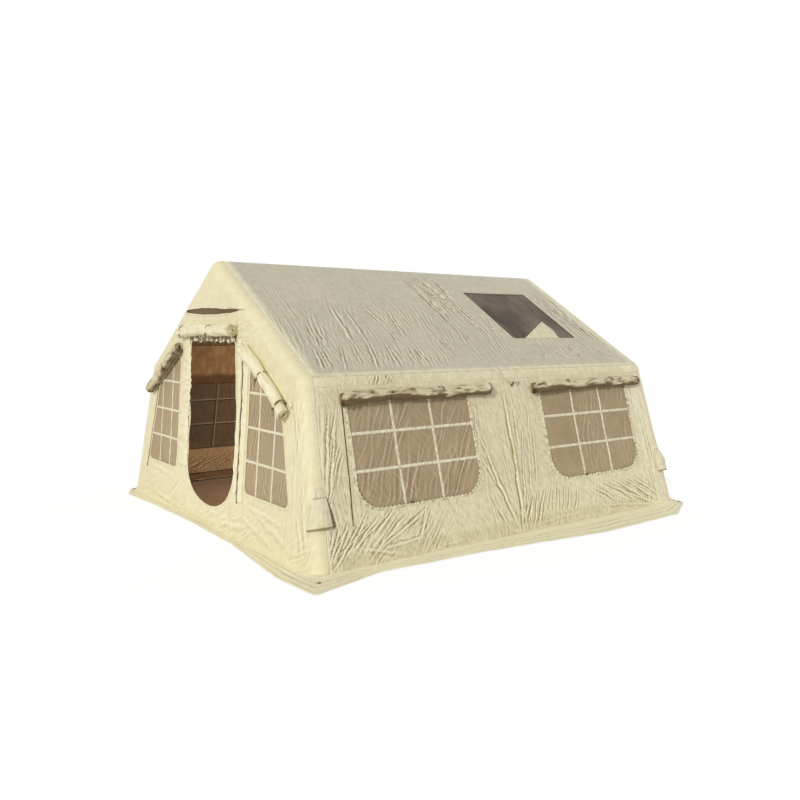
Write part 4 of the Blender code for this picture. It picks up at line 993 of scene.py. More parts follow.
def on_cloth(path, side, lift):
    """Points along a path in the flat pattern, at a height over the cloth, with the cloth's outward directions."""
    place, relief, turned = side
    points, normals = place(path[:, 0], path[:, 1])
    turn = half_turn(turned)
    return (points + normals * (relief(path[:, 0], path[:, 1])[0] + lift)[:, None]) * turn, normals * turn


dashes, tacks = [], []   # white dashes woven into the level tapes, and brown bar tacks where the hems are drawn in


class Strips:
    """Flat tapes sewn along paths in the flat pattern of one side, gathered into one mesh."""

    def __init__(self, side, mottled=0.5):
        self.side, self.mottled, self.area = side, mottled, 0.0
        self.heights, self.flat, self.faces = [], [], []

    def add(self, path, width, lift, thick=0.0012, wave=0.0, closed=False, stitched=True):
        path = paced(path, 0.012, closed)
        aside = sideways(path, closed)
        run = np.arange(len(path)) * 0.012
        swing = wave * noise(run / 0.06, 0 * run, 60)
        base = len(self.flat)
        for i, (spot, way) in enumerate(zip(path, aside)):
            for part, tall in ((-0.5, 0.0), (-0.46, 1.0), (0.0, 1.15), (0.46, 1.0), (0.5, 0.0)):
                self.flat.append(spot + way * (part * width + swing[i]))
                self.heights.append(tall * thick + lift)
        count = len(path)
        for i in range(count if closed else count - 1):
            here, after = base + i * 5, base + (i + 1) % count * 5
            for k in range(5):
                self.faces.append((here + k, here + (k + 1) % 5, after + (k + 1) % 5, after + k))
        if not closed:
            self.faces += [tuple(base + k for k in range(4, -1, -1)),
                           tuple(base + (count - 1) * 5 + k for k in range(5))]
        self.area += width * 0.012 * count
        for edge in (-0.36, 0.36) if stitched else ():
            row = paced(path, 0.012, closed)
            row = row + sideways(row, closed) * (edge * width)
            seam_lines.append(on_cloth(np.vstack([row, row[:1]]) if closed else row, self.side, lift + thick * 1.15))

    def piece(self, name, finish, slot="lattice_tape", rests_on=()):
        flat = np.array(self.flat)
        points = on_cloth(flat, self.side, np.array(self.heights))[0]
        mottle = noise(flat[:, 0] / 0.026, flat[:, 1] / 0.026, 71) * self.mottled
        obj = make_piece(name, points, [face[::-1] for face in self.faces], finish, flat, "tent", slot,
                         crease=np.clip(mottle, -1, 1), crumple=0.6)
        wide = 0.3 if self.area > 0.05 else 0.016
        round(self.area / wide, 3)
        return obj


def grown_outline(outline, gap):
    """An outline moved outwards by a gap."""
    path = paced(outline, 0.012, True)
    aside = sideways(path, True)
    return path + aside * (gap if aside[0] @ (path[0] - outline.mean(0)) > 0 else -gap)


def pane_cut(outline, sill, head, net):
    """A pane of mesh, cut a seam's width larger than its window."""
    us = evenly(min(outline[:, 0]) - 0.014, max(outline[:, 0]) + 0.014, net)
    vs = evenly(sill - 0.014, head + 0.014, net)
    return cut_cloth(us, vs, lambda u, v: inside_outline(u, v, outline) + 0.012)


for end_name, sign in (("front", -1), ("rear", 1)):
    outline = side_windows[end_name]
    side_cut = pane_cut(outline, window_low, window_high, 0.0120)
    for side_name, end, turned in both_sides(end_name):
        stem, wall = f"{side_name}_{end}_window", [f"{side_name}_{end}_wall_cloth"]
        side = long_side, wall_relief, turned
        lay(stem + "_mesh", side_cut, side, (window_mesh, pane_back), stem + "_pane", -0.0032,
            0.0008)
        wide = window_far - window_near
        for layer, drop in (("_tapes", 0.0), ("_inner_tapes", -0.0042)):
            tapes = Strips(side, 1.5)
            for share, up in ((0.34, 0.34), (0.66, 0.68)):
                across_at = sign * (window_near + wide * share)
                tapes.add([(across_at, window_low - 0.004), (across_at, window_high)], 0.024, drop - 0.0030,
                          stitched=not drop)
                level = window_low + (window_high - window_low) * up
                bar = [(sign * (window_near - 0.006), level), (sign * (window_far + 0.006), level)]
                tapes.add(bar, 0.024, drop - 0.0016, stitched=not drop)
                if not drop and sign < 0:
                    dashes.append(on_cloth(paced(bar, 0.012), side, -0.0001))
            lattice = tapes.piece(stem + layer, inner_tape if drop else tape_cloth, rests_on=[stem + "_mesh"])
            if not drop:
                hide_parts(stem + "_lattice")
        edge = paced(outline, 0.012, True)
        edge = np.roll(edge, -int(np.argmax(edge[:, 1] - 0.1 * np.abs(edge[:, 0] - sign))), 0)
        tacks.append(on_cloth(edge[edge[:, 1] < 0.62], side, 0.0046))
        hem = Strips(side, 2.2)
        hem.add(grown_outline(outline, 0.010), 0.026, 0.0002, 0.0016, closed=True)
        hem.piece(stem + "_hem", wall_cloth, slot="wall_cloth", rests_on=wall)

for end_name, turned in (("front", False), ("rear", True)):
    for hand, sign in (("right", 1), ("left", -1)):
        outline = gable_windows[hand]
        stem, gable = f"{end_name}_gable_{hand}_window", [end_name + "_gable_cloth"]
        side = end_side, gable_relief, turned
        lay(stem + "_mesh", pane_cut(outline, gable_corners[0][1], gable_corners[3][1], 0.0125), side,
            (window_mesh, pane_back), stem + "_pane", -0.0032, 0.0008)
        tapes = Strips(side)
        (inner_x, sill), (foot_out, _), (knee_x, knee_z), (_, head) = gable_corners
        for share in (0.26, 0.61):
            x = inner_x + (foot_out - inner_x) * share
            tapes.add([(sign * x, sill - 0.002), (sign * x, np.interp(x, [inner_x, knee_x], [head, knee_z]))], 0.022,
                      -0.0030)
        for share in (0.24, 0.485, 0.735):
            z = sill + (head - sill) * share
            reach = np.interp(z, [sill, knee_z, head], [foot_out, knee_x, inner_x]) + 0.004
            tapes.add([(sign * (inner_x - 0.005), z), (sign * reach, z)], 0.022, -0.0016)
        lattice = tapes.piece(stem + "_tapes", tape_cloth, rests_on=[stem + "_mesh"])
        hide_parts(stem + "_lattice")
        hem = Strips(side)
        hem.add(grown_outline(outline, 0.009), 0.024, 0.0002, 0.0016, closed=True)
        hem.piece(stem + "_hem", gable_cloth, slot="gable_cloth", rests_on=gable)


# Rolled covers: a cloth blind over each window, rolled up to the eave and held by
# two tape ties with bows. Cream outside and brown inside, with painted shade on its underside.

tie_cord = cloth_finish("tie_cord", (124, 98, 60), (74, 54, 30), (170, 144, 100), (108, 84, 50), 0.7, 0.4,
                        (0.006, 0.01), 0.0016)
cover_cloth = cloth_finish("rolled_cover_cloth", (224, 212, 172), (112, 88, 54), (243, 234, 200), (214, 201, 160),
                           0.62, 0.55, (0.010, 0.06))
cover_lining = cloth_finish("cover_lining", (140, 116, 78), (100, 80, 50), (168, 144, 104), (130, 106, 70))


def net_faces(rows, columns, points, normals):
    """Faces of a net of points, turned to face the way of the normals."""
    index = np.arange(rows * columns).reshape(rows, columns)
    faces = np.stack([index[:-1, :-1], index[:-1, 1:], index[1:, 1:], index[1:, :-1]], -1).reshape(-1, 4)
    first, second = points[faces[:, 1]] - points[faces[:, 0]], points[faces[:, 3]] - points[faces[:, 0]]
    out = (np.cross(first, second) * normals[faces[:, 0]]).sum()
    return faces if out > 0 else faces[:, ::-1]


def net_cloth(name, net, outward, cut, finishes, thickness, body, slot, flat, held, rests_on=(), **marks):
    """A net of points made a sheet of cloth with its flat pattern; it rides on its body when one is named, and
    otherwise stays where it lies.
    """
    rows, columns = net.shape[:2]
    points = net.reshape(-1, 3)
    faces = net_faces(rows, columns, points, np.broadcast_to(outward, points.shape))
    obj = make_piece(name, points, faces, finishes, np.stack(cut, -1).reshape(-1, 2), None, **marks)
    thicken(obj, thickness, lining=len(finishes) > 1)
    if isinstance(body, str):
        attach(obj, body)
    else:
        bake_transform(obj)
    return obj


def joined(parts):
    """Points and faces of several small parts as one mesh."""
    points, faces, count = [], [], 0
    for part_points, part_faces in parts:
        points.append(part_points)
        faces += [tuple(corner + count for corner in face) for face in part_faces]
        count += len(part_points)
    return np.vstack(points), faces


def rolled_sheet(name, hub, along, outward, length, radius, cut, pitch, seat, ties, seed, finishes, lumps=0.10,
                 net=0.0145, first=150.0, around=36, dark=1.0, thin=0.0014, under=0.05, droop=0.0):
    """A sheet wound into a loose roll that lies on the wall: lumpy, twisted, and drawn in a little at its ties."""
    along, outward = np.array(along, float), np.array(outward, float)
    upward = np.cross(along, outward)
    upward *= 1 if upward[2] > 0 else -1
    hub = np.array(hub, float)
    inner = math.sqrt(max(radius ** 2 - pitch * cut / math.pi, 1e-5))
    turns = (radius - inner) / pitch
    angles = np.r_[np.linspace(0, 1, around, endpoint=False), np.linspace(1, turns, max(6, int((turns - 1) * 15)))] \
        * 2 * math.pi
    reach = radius - pitch * angles / (2 * math.pi)
    stations = np.linspace(0, length, int(length / net) + 1)
    s, a = np.meshgrid(stations, angles, indexing="ij")
    r = np.meshgrid(stations, reach, indexing="ij")[1]
    around_a = a + math.radians(first)
    out_part, up_part = np.cos(around_a), np.sin(around_a)
    front = 0.25 + 0.75 * step_up(out_part, -0.6, 0.5)
    thick_places = noise(s / 0.26 + seed, 0.5 * up_part, seed)
    twist = noise(s / 0.17 + 0.7 * up_part, 1.1 * out_part + seed, seed + 2)
    lap = np.arctan2(up_part, out_part)
    drift = s + 0.05 * noise(s / 0.30, 0 * s + 5.5, seed + 3)
    crest = np.clip(1 - np.abs(noise(drift / 0.21 + 0.95 * lap, 1.3 * lap - drift / 0.6 + seed, seed + 4)) * 3.2, 0,
                    1) * step_up(out_part, -0.7, -0.1)
    fine = np.clip(1 - np.abs(noise(drift / 0.050 + 0.8 * lap, 1.2 * lap, seed + 5)) * 2.6, 0, 1) \
        * step_up(out_part, -0.7, -0.1) * np.clip(0.4 + 1.8 * noise(s / 0.21, lap, seed + 10), 0, 1)
    from_end = np.minimum(s, length - s)
    frill = 1 - step_up(from_end, 0.02, 0.16)
    near_tie = sum(np.exp(-((s - tie * length) / 0.022) ** 2) for tie in ties)
    swell = 1 + lumps * (1.7 * thick_places + front * (1.0 * twist + 0.95 * crest)
                         + (0.35 + 0.45 * frill + 0.3 * near_tie) * front * fine)
    cleft = np.clip(1 - np.abs(noise(drift / 0.17 - 0.9 * lap, 0.9 * lap + drift / 0.5 + seed, seed + 11)) * 4.5, 0,
                    1) * step_up(out_part, -0.5, 0.1)
    cleft = cleft * np.clip(noise(s / 0.13, 0 * s, seed + 12) * 3 + 0.6, 0, 1)
    swell += 0.16 * np.exp(-s / 0.20) - 0.09 * near_tie - lumps * 0.9 * cleft
    swell *= 0.93 + 0.07 * step_up(from_end, 0.0, 0.03)
    reach_out = r * swell
    bow = 0.009 * noise(s / 0.34, 0 * s + 3.3, seed + 6) - 0.018 * np.exp(-s / 0.16) - droop \
        * step_up(s, length - 0.26, length) ** 1.5
    out = reach_out * out_part * 0.97 + 0.004 * noise(s / 0.3, 0 * s + 8.1, seed + 7)
    up = reach_out * up_part * 1.04 + bow
    shy = -(seat - 0.003) + (radius - r) * 0.8
    out = np.where(out < shy, shy + (out - shy) * 0.08, out)
    poke = 0.010 * (1 - r / radius) * np.sign(s - length / 2) \
        * step_up(np.abs(s - length / 2), length / 2 - 0.08, length / 2)
    points = hub + (s - length / 2 + poke)[..., None] * along + out[..., None] * outward + up[..., None] * upward
    spokes = points - hub - ((points - hub) @ along)[..., None] * along
    faces = net_faces(len(stations), len(angles), points.reshape(-1, 3), spokes.reshape(-1, 3))
    run = np.r_[0, np.cumsum(np.hypot(np.diff(reach), np.diff(angles) * reach[1:]))]
    flat = np.stack([s, np.meshgrid(stations, run, indexing="ij")[1]], -1).reshape(-1, 2)
    # painted shade on the roll's underside, in its clefts, at its open end and beside its ties, and a painted
    # highlight on its crests
    underside_shade = step_up(-up_part + 0.5 * noise(s / 0.34, out_part + seed, seed + 9)
                    + 0.3 * noise(s / 0.075, out_part + seed, seed + 10) - 0.42 * step_up(s, 0.22, 0.7), under,
                    under + 0.30) * step_up(out_part, -0.95, -0.1)
    crease = dark * (underside_shade + 1.1 * cleft + step_up(s, length - 0.045, length - 0.015)) + (1 - underside_shade) * front \
        * (0.22 * dark - 0.75 * crest - 0.25 * fine) + 0.35 * near_tie * (1 - fine)
    obj = make_piece(name, points.reshape(-1, 3), faces, finishes, flat, None, crease=np.clip(crease, -1, 1).ravel(),
                     crumple=(0.5 + 0.5 * front).ravel())
    thicken(obj, thin, lining=True)
    obj["cut"] = [float(length), float(run[-1])]
    return obj, upward


def ribbon(points, normals, width, thick=0.0009):
    """A narrow tape through points in space, lying square to its normals: points and faces."""
    points, normals = np.array(points, float), np.array(normals, float)
    ahead = np.gradient(points, axis=0)
    ahead /= np.maximum(np.linalg.norm(ahead, axis=1), 1e-9)[:, None]
    aside = np.cross(ahead, normals)
    aside /= np.maximum(np.linalg.norm(aside, axis=1), 1e-9)[:, None]
    face_way = np.cross(aside, ahead)
    ring = np.stack([points + aside * width / 2, points + aside * width / 2 + face_way * thick,
                     points - aside * width / 2 + face_way * thick, points - aside * width / 2], 1)
    count = len(points)
    faces = [tuple(reversed((i * 4 + k, i * 4 + (k + 1) % 4, (i + 1) * 4 + (k + 1) % 4, (i + 1) * 4 + k)))
             for i in range(count - 1) for k in range(4)]
    faces += [(0, 1, 2, 3), tuple((count - 1) * 4 + k for k in (3, 2, 1, 0))]
    return ring.reshape(-1, 3), faces


def round_turn(count):
    """Angles evenly round a full turn."""
    return np.linspace(0, 2 * math.pi, count, endpoint=False)


def ring_faces(rows, around, base=0):
    """Faces between rings of points, one ring after another."""
    return [(base + i * around + k, base + i * around + (k + 1) % around, base + (i + 1) * around + (k + 1) % around,
             base + (i + 1) * around + k) for i in range(rows) for k in range(around)]


def bow_tie(hub, along, outward, upward, radius, seat):
    """A tape tied round a roll at one place: its loop, a knot, two small ears and two tails."""
    along, outward, upward, hub = (np.array(each, float) for each in (along, outward, upward, hub))
    parts = []
    turn = np.linspace(0, 2 * math.pi, 29)
    spokes = np.cos(turn)[:, None] * outward + np.sin(turn)[:, None] * upward
    loop = hub + spokes * radius
    back = np.minimum((loop - hub) @ outward + seat - 0.002, 0)
    loop = loop - back[:, None] * outward
    parts.append(ribbon(loop, spokes, 0.013, 0.0012))
    knot = hub + (outward * 0.86 - upward * 0.60) / 1.05 * (radius + 0.004)
    sway = random_ties.uniform(-1, 1, 8)
    for side, (spread, drop) in ((-1, (0.013, 0.016)), (1, (0.016, 0.012))):
        share = np.linspace(0, 1, 13)
        swing = np.sin(share * math.pi)
        ear = knot + np.outer(np.sin(share * 2 * math.pi) * 0.006 + swing * spread * side, along) \
            - np.outer(swing * drop + share * (1 - share) * 0.02, upward) + np.outer(swing * 0.010, outward)
        parts.append(ribbon(ear, np.tile(outward + 0.3 * upward, (13, 1)), 0.007, 0.001))
        fall = np.linspace(0, 1, 9)
        tail = knot - np.outer(fall * (0.054 + 0.014 * sway[side]), upward) \
            + np.outer(side * fall ** 1.4 * (0.014 + 0.008 * sway[side + 3]), along) \
            + np.outer(np.sin(fall * 3) * 0.004, outward)
        parts.append(ribbon(tail, np.tile(outward + 0.2 * side * along, (9, 1)), 0.007, 0.001))
    lump = np.array([(math.cos(a) * math.cos(b), math.sin(b), math.sin(a) * math.cos(b))
                     for b in (-1.2, -0.5, 0.3, 1.0) for a in round_turn(8)])
    lump_points = knot + lump[:, :1] * along * 0.008 + lump[:, 1:2] * outward * 0.006 + lump[:, 2:] * upward * 0.007
    parts.append((lump_points, ring_faces(3, 8) + [tuple(range(7, -1, -1)), tuple(24 + k for k in range(8))]))
    return joined(parts)


random_ties = np.random.default_rng(5)


def turned_round(vector):
    return (-vector[0], -vector[1], vector[2])


def make_cover(stem, body, hub, along, outward, length, radius, cut, seat, ties, seed, top_gap, joint, turned, skin,
               finishes=None, pitch=0.0075, **look):
    """The roll, its ties, and the short sheet between the wall's seam and the roll."""
    if turned:
        hub, along, outward = turned_round(hub), turned_round(along), turned_round(outward)
    roll, upward = rolled_sheet(stem + "_roll", hub, along, outward, length, radius, cut, pitch, seat, ties, seed,
                                finishes or (cover_cloth, cover_lining), **look)
    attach(roll, body)
    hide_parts(stem)
    del roll["cut"]
    hub, along, outward = (np.array(each, float) for each in (hub, along, outward))
    anchor, unrolled_at = hub - outward * seat, hub - outward * (seat - 0.020)
    points, faces = joined([bow_tie(hub + along * (tie - 0.5) * length, along, outward, upward, radius * 0.84, seat)
                            for tie in ties])
    tie_piece = make_piece(stem + "_ties", points, faces, tie_cord, points[:, [0, 2]], body, "lattice_tape",
                           crease=0.1, crumple=0.3)
    # the sheet from the seam down behind the roll
    rows, columns = np.linspace(0, 1, 12), np.linspace(-0.5, 0.5, int(length / 0.014) + 1)
    row, column = np.meshgrid(rows, columns, indexing="ij")
    drop = top_gap + radius * 0.45
    wavy = 0.0034 * noise(column * length / 0.032, row * 0.7, seed + 8) * np.sin(row * math.pi)
    stand = 0.0018 + 0.0057 * np.sin(row * math.pi * 0.5) + wavy
    stretch = length * (1 - 0.012 * row)
    web_points = anchor + (column * stretch)[..., None] * along + (radius * 0.98 + top_gap - row * drop)[..., None] \
        * upward + stand[..., None] * outward
    high, low = hub + upward * (radius + top_gap * 0.9) - outward * seat, hub + upward * radius * 0.56 - outward * seat
    # painted light and shade along the sheet's waves, and a faint painted highlight over all of it
    net_cloth(stem + "_top", web_points, outward, (column * length, -row * drop), (skin, cover_lining), 0.0012,
              (body, high, low),
              "rolled_cover_cloth", (round(length, 3), round(drop, 3)), "hung", crease=-wavy / 0.009 - 0.1,
              crumple=0.7)
    for piece in (roll, tie_piece):
        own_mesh(piece)
    return roll, upward


wall_out = (math.cos(wall_lean), 0, math.sin(wall_lean))
for end_name, low, high, seed in (("front", -1.622, -0.205, 3), ("rear", 0.310, 1.722, 8)):
    for side_name in ("right", "left"):
        turned = side_name == "left"
        other = {"front": "rear", "rear": "front"}[end_name] if turned else end_name
        stem = f"{side_name}_{other}_window_cover"
        v, seat = 1.213, 0.0426
        hub = (half_width - v * math.sin(wall_lean) + seat * wall_out[0], (low + high) / 2,
               v * math.cos(wall_lean) + seat * wall_out[2])
        make_cover(stem, stem, hub, (0, 1, 0), wall_out, high - low, 0.046, 0.85, seat, (0.30, 0.645),
                   seed + 20 * turned, 0.040,
                   stem + "_unroll", turned, wall_cloth, lumps=0.17)

gable_out = (0, -math.cos(math.atan(gable_slope)), math.sin(math.atan(gable_slope)))
gable_up = np.array([0, math.sin(math.atan(gable_slope)), math.cos(math.atan(gable_slope))])
for end_name in ("front", "rear"):
    turned = end_name == "rear"
    for hand, sign, seed in (("right", 1, 13), ("left", -1, 17)):
        stem = f"{end_name}_gable_{hand}_window_cover"
        z, seat = 1.292, 0.0463
        slant = np.array([sign * math.cos(roof_pitch), 0, 0]) - gable_up * math.sin(roof_pitch)
        hub = np.array([sign * 1.025, -2.0 + gable_slope * z, z]) + np.array(gable_out) * seat
        make_cover(stem, stem, tuple(hub), tuple(slant), gable_out, 0.8345, 0.050, 0.80, seat,
                   (0.47, 0.90) if sign > 0 else (0.08, 0.45), seed + 20 * turned, 0.012,
                   stem + "_unroll", turned, gable_cloth, (gable_cloth, gable_cloth) if sign > 0
                   else (cover_cloth, cover_cloth), 0.0085, lumps=0.12,
                   dark=0.25 if sign > 0 else 0.7, under=0.35, droop=0.030 if sign > 0 else 0.0, thin=0.0030)

# Doors: each doorway has a cloth door rolled up over its head and a mesh door
# gathered inside it. Zip flaps stand beside the doorway, and zips run beside it
# and round the left-hand cover; their coils and all stitches repeat along paths.

def band(name, path, across, side, finishes, lift=0.0005, puff=0.0, wave=(0.0, 0.0),
         ruffle=(0.0, 0.05), seed=0, step=0.010, tone=0.0, slot="gable_cloth", rests_on=(), thick=0.0012):
    """A strip of cloth along a path in the flat pattern, with edges that wave and a face that puffs and ruffles."""
    path = paced(path, step)
    aside = sideways(path)
    run = np.arange(len(path)) * step
    low = across[0] + wave[0] * noise(run / 0.085, 0 * run, seed)
    high = across[1] + wave[1] * noise(run / 0.085, 0 * run + 4.4, seed)
    share = np.linspace(0, 1, max(4, int(abs(across[1] - across[0]) / step) + 1))
    spot = path[:, None] + aside[:, None] * (low[:, None] + (high - low)[:, None] * share)[..., None]
    r, t = run[:, None] + 0 * share, share + 0 * run[:, None]
    free = 0.25 + 0.75 * (wave[1] > wave[0]) * t + 0.75 * (wave[0] > wave[1]) * (1 - t)
    crest = np.clip(1 - np.abs(noise(r / ruffle[1], t * 1.2 + seed, seed + 1)) * 2.4, 0, 1)
    stand = puff * np.sin(np.pi * t) ** 0.6 + ruffle[0] * crest * free + 0.25 * puff * noise(r / 0.07, t * 2, seed + 2)
    flat = spot.reshape(-1, 2)
    points, normals = on_cloth(flat, side, lift + np.maximum(stand.ravel(), 0))
    wide = across[1] - across[0]
    # painted highlight along the crests of its ruffles
    return net_cloth(name, points.reshape(*stand.shape, 3), normals, (r, t * wide), finishes, thick, "tent", slot,
                     (round(run[-1], 3), round(abs(wide), 3)), "stretched", rests_on,
                     crease=tone - 0.8 * crest * free * (ruffle[0] > 0), crumple=0.4 + 0.5 * free)


def bead_tree():
    """Small rounded beads along a path at an even pitch, upright on the cloth."""
    work = Work("beads_along_a_path", "Beads", Path="Geometry", Pitch="Float", Bead="Vector", Finish="Material")
    curve = work.node("GeometryNodeMeshToCurve")
    even = work.node("GeometryNodeResampleCurve", {"mode": "LENGTH"})
    bead = work.node("GeometryNodeMeshUVSphere", Segments=4, Rings=3, Radius=0.5)
    ahead = work.node("GeometryNodeInputTangent")
    upright = work.node("GeometryNodeInputNamedAttribute", {"data_type": "FLOAT_VECTOR"}, Name="way")
    turn = work.node("FunctionNodeAxesToRotation", {"primary_axis": "Z", "secondary_axis": "X"})
    place = work.node("GeometryNodeInstanceOnPoints")
    real = work.node("GeometryNodeRealizeInstances")
    shade = work.node("GeometryNodeSetShadeSmooth")
    finish = work.node("GeometryNodeSetMaterial")
    work.chain(work.given, curve, even, place, shade, real, finish, work.made)
    work.link((work.given, "Pitch", even, "Length"), (bead, "Mesh", place, "Instance"),
              (work.given, "Bead", place, "Scale"),
              (upright, "Attribute", turn, "Primary Axis"), (ahead, "Tangent", turn, "Secondary Axis"),
              (turn, "Rotation", place, "Rotation"), (work.given, "Finish", finish, "Material"))
    return work.tree


beads = bead_tree()


def bead_rows(name, rows, pitch, bead, finish):
    """Beads along rows of points, each row with its upright directions."""
    points, ways, edges = [], [], []
    for row_points, row_ways in rows:
        edges += [(len(points) + i, len(points) + i + 1) for i in range(len(row_points) - 1)]
        points += [tuple(point) for point in row_points]
        ways += [tuple(way) for way in row_ways]
    obj = worked_out(name, points, edges, beads, {"Pitch": pitch, "Bead": bead, "Finish": finish.material}, way=ways)
    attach(obj, "tent")
    return obj


def zip_on_cloth(name, path, side, width=0.020, finish=None, tooth=0.0062):
    """A zip sewn along a path: its woven tape, and its coil of teeth standing on it."""
    band(name + "_tape", path, (-width / 2, width / 2), side, (finish or zip_tape,), 0.0006, 0.0006, seed=5,
         slot="lattice_tape", thick=0.0009)
    coil = on_cloth(paced(path, 0.008), side, 0.0024)
    bead_rows(name + "_teeth", [coil], 0.0030, (0.0018, tooth, 0.0020 if tooth > 0.004 else 0.0010), zip_coil)


zip_tape = cloth_finish("zip_tape", (120, 84, 44), (74, 50, 26), (156, 116, 68), (106, 74, 38), 0.75, 0.2,
                        (0.006, 0.01), 0.0012)
tan_tape = cloth_finish("tan_zip_tape", (176, 132, 72), (134, 96, 50), (206, 164, 104), (164, 122, 66), 0.75, 0.2,
                        (0.006, 0.01), 0.0012)
zip_coil = worn_finish("zip_coil", (124, 88, 48), (84, 58, 32), 0.02, Roughness=0.38)
insect_net = cloth_finish("insect_net", (122, 94, 58), (76, 56, 34), (176, 150, 108), (108, 82, 50), 0.75, 0.5,
                          (0.006, 0.05), 0.0019)

zip_x, slider_low, zip_top = 0.585, 0.30, 1.545
for end_name in ("front", "rear"):
    turned = end_name == "rear"
    side, cloths, on_gable = (end_side, gable_relief, turned), (gable_cloth, lining), [end_name + "_gable_cloth"]
    binding = Strips(side)
    binding.add(grown_outline(door_outline, 0.004), 0.022, 0.0003, 0.0026, closed=True)
    binding.piece(end_name + "_doorway_binding", gable_cloth, slot="gable_cloth", rests_on=on_gable)
    zip_z = np.linspace(slider_low - 0.02, zip_top, 70)
    zip_on_cloth(end_name + "_door_zip",
                 np.stack([zip_x + 0.016 * noise(zip_z / 0.13, 0 * zip_z, 76) * step_up(zip_z, 0.38, 0.50), zip_z],
                          -1), side, 0.024)
    band(end_name + "_door_left_facing", [(-0.575, 0.43), (-0.585, 1.0), (-0.575, 1.60)], (-0.112, 0.118), side,
         cloths,
         0.0008, 0.0060, (0.004, 0.034), (0.0095, 0.050), 31, tone=0.18, rests_on=on_gable)
    band(end_name + "_door_inner_flap", [(0.535, 0.36), (0.535, 1.58)], (-0.026, 0.034), side, cloths,
         0.0012, 0.0075, (0.014, 0.012), (0.0050, 0.060), 35, step=0.008, rests_on=on_gable)
    band(end_name + "_door_outer_flap", [(0.652, 0.30), (0.652, 1.56)], (-0.052, 0.030), side, cloths,
         0.0012, 0.0080, (0.016, 0.004), (0.0045, 0.070), 39, step=0.008, rests_on=on_gable)
    zip_on_cloth(end_name + "_gable_left_window_zip", [(-1.258, 1.160), (-1.466, 0.385), (-1.492, 0.290)], side, 0.026,
                 tan_tape)
    # the rolled cloth door, its ties, and the sheet that hangs from the head seam behind it
    stem = end_name + "_door"
    make_cover(stem, stem, (-0.05, -arch_y - tube_reach - 0.0463, 1.65), (1, 0, 0), (0, -1, 0), 1.10, 0.050, 1.45,
               0.0463, (0.07, 0.60), 41 + 20 * turned, 0.020,
               stem + "_unroll", turned, gable_cloth, (gable_cloth, gable_cloth), 0.0052, lumps=0.10, dark=0.35,
               under=0.62, thin=0.0032)
    # the door's loose end, in ragged folds below the roll, with painted shade that is deepest next to the roll and
    # follows its folds
    run, drop = np.meshgrid(np.linspace(0, 1.00, 124), np.linspace(0, 1, 9), indexing="ij")
    deep = 0.050 + 0.020 * np.clip(noise(run / 0.085, 0 * run, 73) * 1.6 + 0.3, 0, 1)
    swing = (0.005 + 0.009 * drop) * noise(run / 0.046 + 0.9 * drop, drop * 1.1, 74)
    hang = np.stack([run - 0.52, -1.916 - 0.012 * (1 - drop) - 0.6 * np.abs(swing), 1.608 - drop * deep], -1) \
        * half_turn(turned)
    net_cloth(stem + "_loose_end", hang, (0.0, 1.0 if turned else -1.0, 0.0), (run, drop * deep),
              (cover_cloth, lining), 0.0009, stem,
              "rolled_cover_cloth", (1.0, 0.05), "hung", [stem + "_roll"],
              crease=np.clip(swing / 0.0030 + 0.35 + 0.3 * (1 - drop), -1, 1), crumple=0.6)
    # the gathered mesh door: a loose roll inside the head of the doorway, with its edge hanging ragged below
    stem = end_name + "_mesh_door"
    hub, along, inward = (0.03, -arch_y - tube_reach + 0.034, 1.588), (1, 0, 0), (0, 1, 0)
    if turned:
        hub, along, inward = turned_round(hub), turned_round(along), turned_round(inward)
    roll, upward = rolled_sheet(stem + "_roll", hub, along, inward, 0.96, 0.030, 1.41, 0.0018, 0.028, (0.25, 0.75), 43,
                                (insect_net, insect_net), 0.20, thin=0.0005, net=0.020)
    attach(roll, stem)
    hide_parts(stem)
    del roll["cut"]
    hub, along, inward = (np.array(each, float) for each in (hub, along, inward))
    run, drop = np.meshgrid(np.linspace(0, 0.94, 68), np.linspace(0, 1, 14), indexing="ij")
    paid = hub + (run - 0.47)[..., None] * along + (0.028 - 0.022 * drop)[..., None] * np.array((0, 0, 1)) \
        + (0.003 * noise(run / 0.05, drop * 2, 45) - 0.026)[..., None] * inward
    net_cloth(stem + "_sheet", paid, -inward, (run, drop * 0.022), (insect_net,), 0.0006,
              (stem, hub + (0, 0, 0.027), hub + (0, 0, 0.008)),
              "insect_mesh", (0.94, 0.022), "hung", [stem + "_roll"], crumple=0.4)
    # the ragged edge gets painted light and shade along its folds
    run, drop = np.meshgrid(np.linspace(0, 0.94, 118), np.linspace(0, 1, 9), indexing="ij")
    ragged = 0.030 + 0.034 * np.clip(noise(run / 0.11, 0 * run, 47) + 0.25, 0, 1) + 0.020 \
        * np.exp(-((run - 0.86) / 0.06) ** 2)
    swing = (0.006 + 0.010 * drop) * noise(run / 0.020, drop * 0.8, 48)
    hang = hub + (run - 0.47)[..., None] * along - (0.012 + drop * ragged)[..., None] * np.array((0, 0, 1)) \
        + (swing - 0.016 + 0.010 * drop)[..., None] * inward
    net_cloth(stem + "_edge", hang, -inward, (run, drop * ragged), (insect_net,), 0.0006, stem, "insect_mesh",
              (0.96, 0.046), "hung", [stem + "_roll"], crease=-swing / 0.012 * 1.2, crumple=0.6)

# the zip sliders keep their solid shape, in dark metal
zip_metal = worn_finish("zip_slider_metal", (120, 98, 66), (176, 152, 112), 0.012, 4.0, 2.0, -0.5, (0.3, 0.25),
                        Metallic=1.0)


def coat(finish, *nodes):
    """Gives solids that keep their shape their finish."""
    for node in nodes:
        for place in bpy.data.objects[node].material_slots:
            place.material = finish.material


coat(zip_metal, "front_door_zip_slider", "rear_door_zip_slider")


# Vent: a slit right across the gable under the ridge, behind a hood whose hem
# stands off the cloth; brown netting is sewn in behind it.

